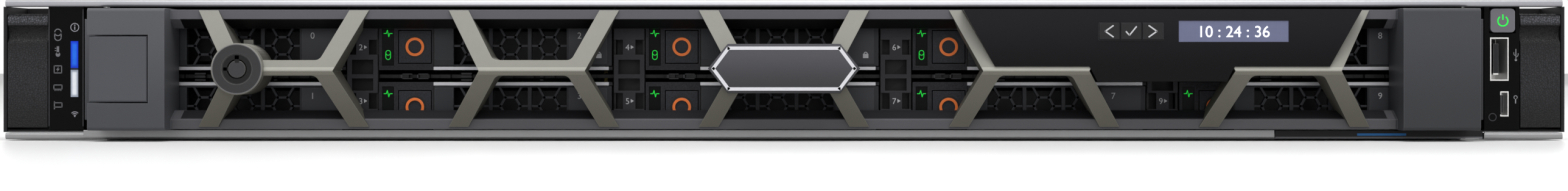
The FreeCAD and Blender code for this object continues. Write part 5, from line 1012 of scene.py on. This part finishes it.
def rear_details():
    """Vent screens, screws, lights, port contacts and fan guards at the rear."""
    screens = Shapes(REAR_FACE - 0.9, 0.5, rear=True)
    for start, pitch in ((22, 11), (-27, -11)):
        for number in range(11):
            left = start + pitch * number
            for z in (31.5, 34.0, 36.5):
                screens.line([(left, z), (left + 5, z)], 0.5)
            screens.line([(left + 2.5, 29), (left + 2.5, 39)], 0.5)
    screens.piece("vent_screens", rear_zinc, "chassis", "tray_steel")
    heads, recesses = Shapes(REAR_FACE, 0.7, rear=True), Shapes(REAR_FACE + 0.7, 0.03, rear=True)
    for x, z in REAR_SCREWS:
        screw_head(heads, recesses, x, z, 1.9)
    heads.piece("rear_screws", brushed("screw_nickel", "#A5A6A8"), "chassis", "port_metal")
    # Painted shade in the screws' cross recesses.
    recesses.piece("rear_screw_recesses", ink("recess_painted_shade", "#26262A"), "chassis", "port_metal")
    contacts, pins = Shapes(REAR_FACE - 6.0, 0.3, rear=True), Shapes(REAR_FACE + 2.0, 0.05, rear=True)
    for left in NET_LEFTS:
        for number in range(8):
            contacts.block(left + 3.4 + number * 1.1, 13.2, left + 3.9 + number * 1.1, 16.4)
    for row, z in enumerate((9.8, 11.8, 13.8)):
        for number in range(5):
            pins.disc(-31 - 4.6 + number * 2.3 + (0.6 if row == 1 else 0), z, 0.42, 12)
    contacts.piece("network_contacts", brushed("contact_gold", "#C8A24A"), "chassis", "port_metal")
    # Painted shade in the video socket's holes.
    pins.piece("video_holes", ink("hole_painted_shade", "#070708"), "chassis", "port_metal")
    for body, side in (("psu_2", 1), ("psu_1", -1)):
        guard = Shapes(SUPPLY_FACE, 0.7, rear=True)
        for radius in (2.2, 4.6, 7.0, 9.2):
            guard.ring(side * FAN_X, FAN_Z, radius, radius - 0.6, steps=36)
        for turn in (45, 135, 225, 315):
            spoke = [spot(side * FAN_X, FAN_Z, r, math.radians(turn)) for r in (1.9, 9.4)]
            guard.line(spoke, 0.7)
        guard.piece(f"{body}_fan_guard", duct_black, body, "black_plastic")
        light = Shapes(SUPPLY_FACE, 0.25, rear=True)
        light.disc(side * 158.4, 36.4, 1.1)
        light.piece(f"{body}_light", lamp(f"{body}_green", "#2DBE4E", 0.5), body, "light_pipe")


def cover_details():
    """Screwdriver slot in the cover's lock, painted dark as shade."""
    low, high = box("cover_latch_lock")
    middle = (low + high) / 2
    mesh = bmesh.new()
    prism(mesh, *(
        [((middle.x + x) * MM, (middle.y + y) * MM, z * MM) for x, y in corners(-2.6, -0.5, 2.6, 0.5)]
        for z in (high.z + 0.03, high.z)
    ))
    piece("cover_lock_slot", mesh, ink("cover_slot_painted_shade", "#0B0B0C"), "cover_latch_lock")


def eased(before, corner, after, radius, steps=6):
    """Points of the arc that rounds a corner."""
    a, b = (before - corner).normalized(), (after - corner).normalized()
    half = a.angle(b) / 2
    middle = corner + (a + b).normalized() * radius / math.sin(half)
    start, end = (corner + way * radius / math.tan(half) - middle for way in (a, b))
    return [middle + start.lerp(end, i / steps).normalized() * radius for i in range(steps + 1)]


def strut_outline(middle):
    """Two arms up and two down on one bar, its inner corners rounded."""
    lean_top = (ARM_HALF - WAIST_HALF) / (ARM_TOP - RIDGE)
    lean_foot = (ARM_HALF - WAIST_HALF) / (RIDGE - ARM_FOOT)
    inner = ARM_HALF - ARM_WIDE
    bar_top, top, arm_top, bar_foot, foot, arm_foot = (Vector(point) for point in (
        (0, BAR_HIGH), (inner - (ARM_TOP - BAR_HIGH) * lean_top, BAR_HIGH), (inner, ARM_TOP),
        (0, BAR_LOW), (inner - (BAR_LOW - ARM_FOOT) * lean_foot, BAR_LOW), (inner, ARM_FOOT),
    ))
    half = [
        *eased(bar_top, top, arm_top, BAR_ROUND),
        arm_top, (ARM_HALF, ARM_TOP), (WAIST_HALF, RIDGE), (ARM_HALF, ARM_FOOT), arm_foot,
        *eased(arm_foot, foot, bar_foot, BAR_ROUND),
    ]
    return [(middle + x, z) for x, z in half] + [(middle - x, z) for x, z in reversed(half)]


def carved(mesh, outline):
    """Mesh with a hole of this outline from front to back."""
    hole = Shapes(-45, 45, rear=True).patch(list(outline)).mesh
    holders = []
    for solid in (mesh, hole):
        bmesh.ops.recalc_face_normals(solid, faces=solid.faces)
        holders.append(linked("carving", solid))
    cut = holders[0].modifiers.new("cut", "BOOLEAN")
    cut.operation, cut.solver, cut.object = "DIFFERENCE", "EXACT", holders[1]
    bpy.context.view_layer.update()
    left = bmesh.new()
    left.from_object(holders[0], bpy.context.evaluated_depsgraph_get())
    for holder in holders:
        data = holder.data
        bpy.data.objects.remove(holder)
        bpy.data.meshes.remove(data)
    return left


def bezel_struts():
    """Crossed struts of the bezel, ridged along their middle, in place of the plain lattice."""
    mesh = bmesh.new()
    for number in range(-2, 3):
        outline = strut_outline(number * STRUT_PITCH)
        mesh.faces.new([mesh.verts.new((x * MM, 0, z * MM)) for x, z in outline])
    everything = mesh.verts[:] + mesh.edges[:] + mesh.faces[:]
    ridge_at, upwards = (0, 0, RIDGE * MM), (0, 0, 1)
    bmesh.ops.bisect_plane(mesh, geom=everything, dist=1e-7, plane_co=ridge_at, plane_no=upwards)
    fronts = mesh.verts[:]
    backs = bmesh.ops.extrude_face_region(mesh, geom=mesh.faces[:])["geom"]
    for vert in backs:
        if isinstance(vert, bmesh.types.BMVert):
            vert.co.y = STRUT_BACK * MM
    for vert in fronts:
        z = vert.co.z / MM
        away = (z - RIDGE) / (STRUT_HIGH - RIDGE) if z > RIDGE else (RIDGE - z) / (RIDGE - STRUT_LOW)
        vert.co.y = (STRUT_RIDGE + away * (STRUT_EDGE - STRUT_RIDGE)) * MM
    mesh = carved(mesh, DISPLAY_OUTLINE)
    mesh = carved(mesh, [spot(LOCK_X, LOCK_Z, LOCK_RING, math.tau * i / 48) for i in range(48)])
    seat = Shapes(LOCK_SEAT, STRUT_BACK - LOCK_SEAT, rear=True, mesh=mesh)
    seat.ring(LOCK_X, LOCK_Z, LOCK_RING - 0.01, LOCK_BARREL, steps=48)
    made = seat.piece("bezel_struts", struts_grey, "bezel", "lattice_grey")
    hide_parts("bezel_lattice")


open_handles()
bay_springs()
lock_details()
plaque_border()
key_borders()
bezel_struts()
lower_lip()
rear_details()
cover_details()
status_icons()
port_icons()
carrier_details()
bay_numbers()
display_details()
tag_line()


# ---------------------------------------------------------- studio and camera
WHITE = (1.0, 1.0, 1.0, 1.0)
WORLD_LIGHT = 0.32
FLOOR_HALF, FLOOR_DROP = 12.0, 0.0004


def studio():
    """Pale floor and backdrop, and a soft fill from the world."""
    floor = Finish("studio_floor", rough=0.35)
    floor.feed(Base_Color=floor.mix(floor.shown(), "#BFBFBF", "#F4F4F4"))
    mesh = bmesh.new()
    bmesh.ops.create_grid(mesh, x_segments=2, y_segments=2, size=FLOOR_HALF)
    ground = linked("studio_floor", mesh)
    ground.location.z = -FLOOR_DROP
    ground.data.materials.append(floor.material)

    world = bpy.data.worlds.new("studio")
    sky = Nodes(world)
    lit_by, seen_as = (
        sky.add("ShaderNodeBackground", {}, {"Color": WHITE, "Strength": strength})
        for strength in (WORLD_LIGHT, 1.0)
    )
    blend = sky.add("ShaderNodeMixShader", {}, {0: sky.shown(), 1: lit_by, 2: seen_as})
    sky.add("ShaderNodeOutputWorld", {}, {0: blend})
    bpy.context.scene.world = world


def soft_light(name, place, aim, wide, deep, power):
    """Rectangular light aimed at a point."""
    light = bpy.data.lights.new(name, "AREA")
    light.shape, light.size, light.size_y, light.energy = "RECTANGLE", wide, deep, power
    holder = bpy.data.objects.new(name, light)
    holder.location = place
    holder.rotation_euler = (Vector(aim) - Vector(place)).to_track_quat("-Z", "Y").to_euler()
    bpy.context.scene.collection.objects.link(holder)


studio()
soft_light("light_above", (0.0, -0.55, 1.3), (0, 0.1, 0.02), 1.8, 0.8, 22)
soft_light("light_front", (0.0, -1.8, 0.5), (0, 0, 0.02), 1.6, 0.8, 7)
soft_light("light_rear", (0.3, 2.3, 1.1), (0, 0.7, 0.02), 1.6, 0.8, 9)

CAMERA_AWAY, CAMERA_HIGH, VIEW_WIDE, VIEW_UP, FOCUS_Y = 0.700, 0.0214, 0.4842, -0.0164, -0.022
eye = bpy.data.cameras.new("camera")
eye.sensor_width = 36
eye.lens = eye.sensor_width * CAMERA_AWAY / VIEW_WIDE
eye.shift_y = VIEW_UP
camera = bpy.data.objects.new("camera", eye)
camera.location = (0, FOCUS_Y - CAMERA_AWAY, CAMERA_HIGH)
camera.rotation_euler = (math.radians(90), 0, 0)
bpy.context.scene.collection.objects.link(camera)
bpy.context.scene.camera = camera
bpy.context.scene.view_settings.view_transform = "Standard"
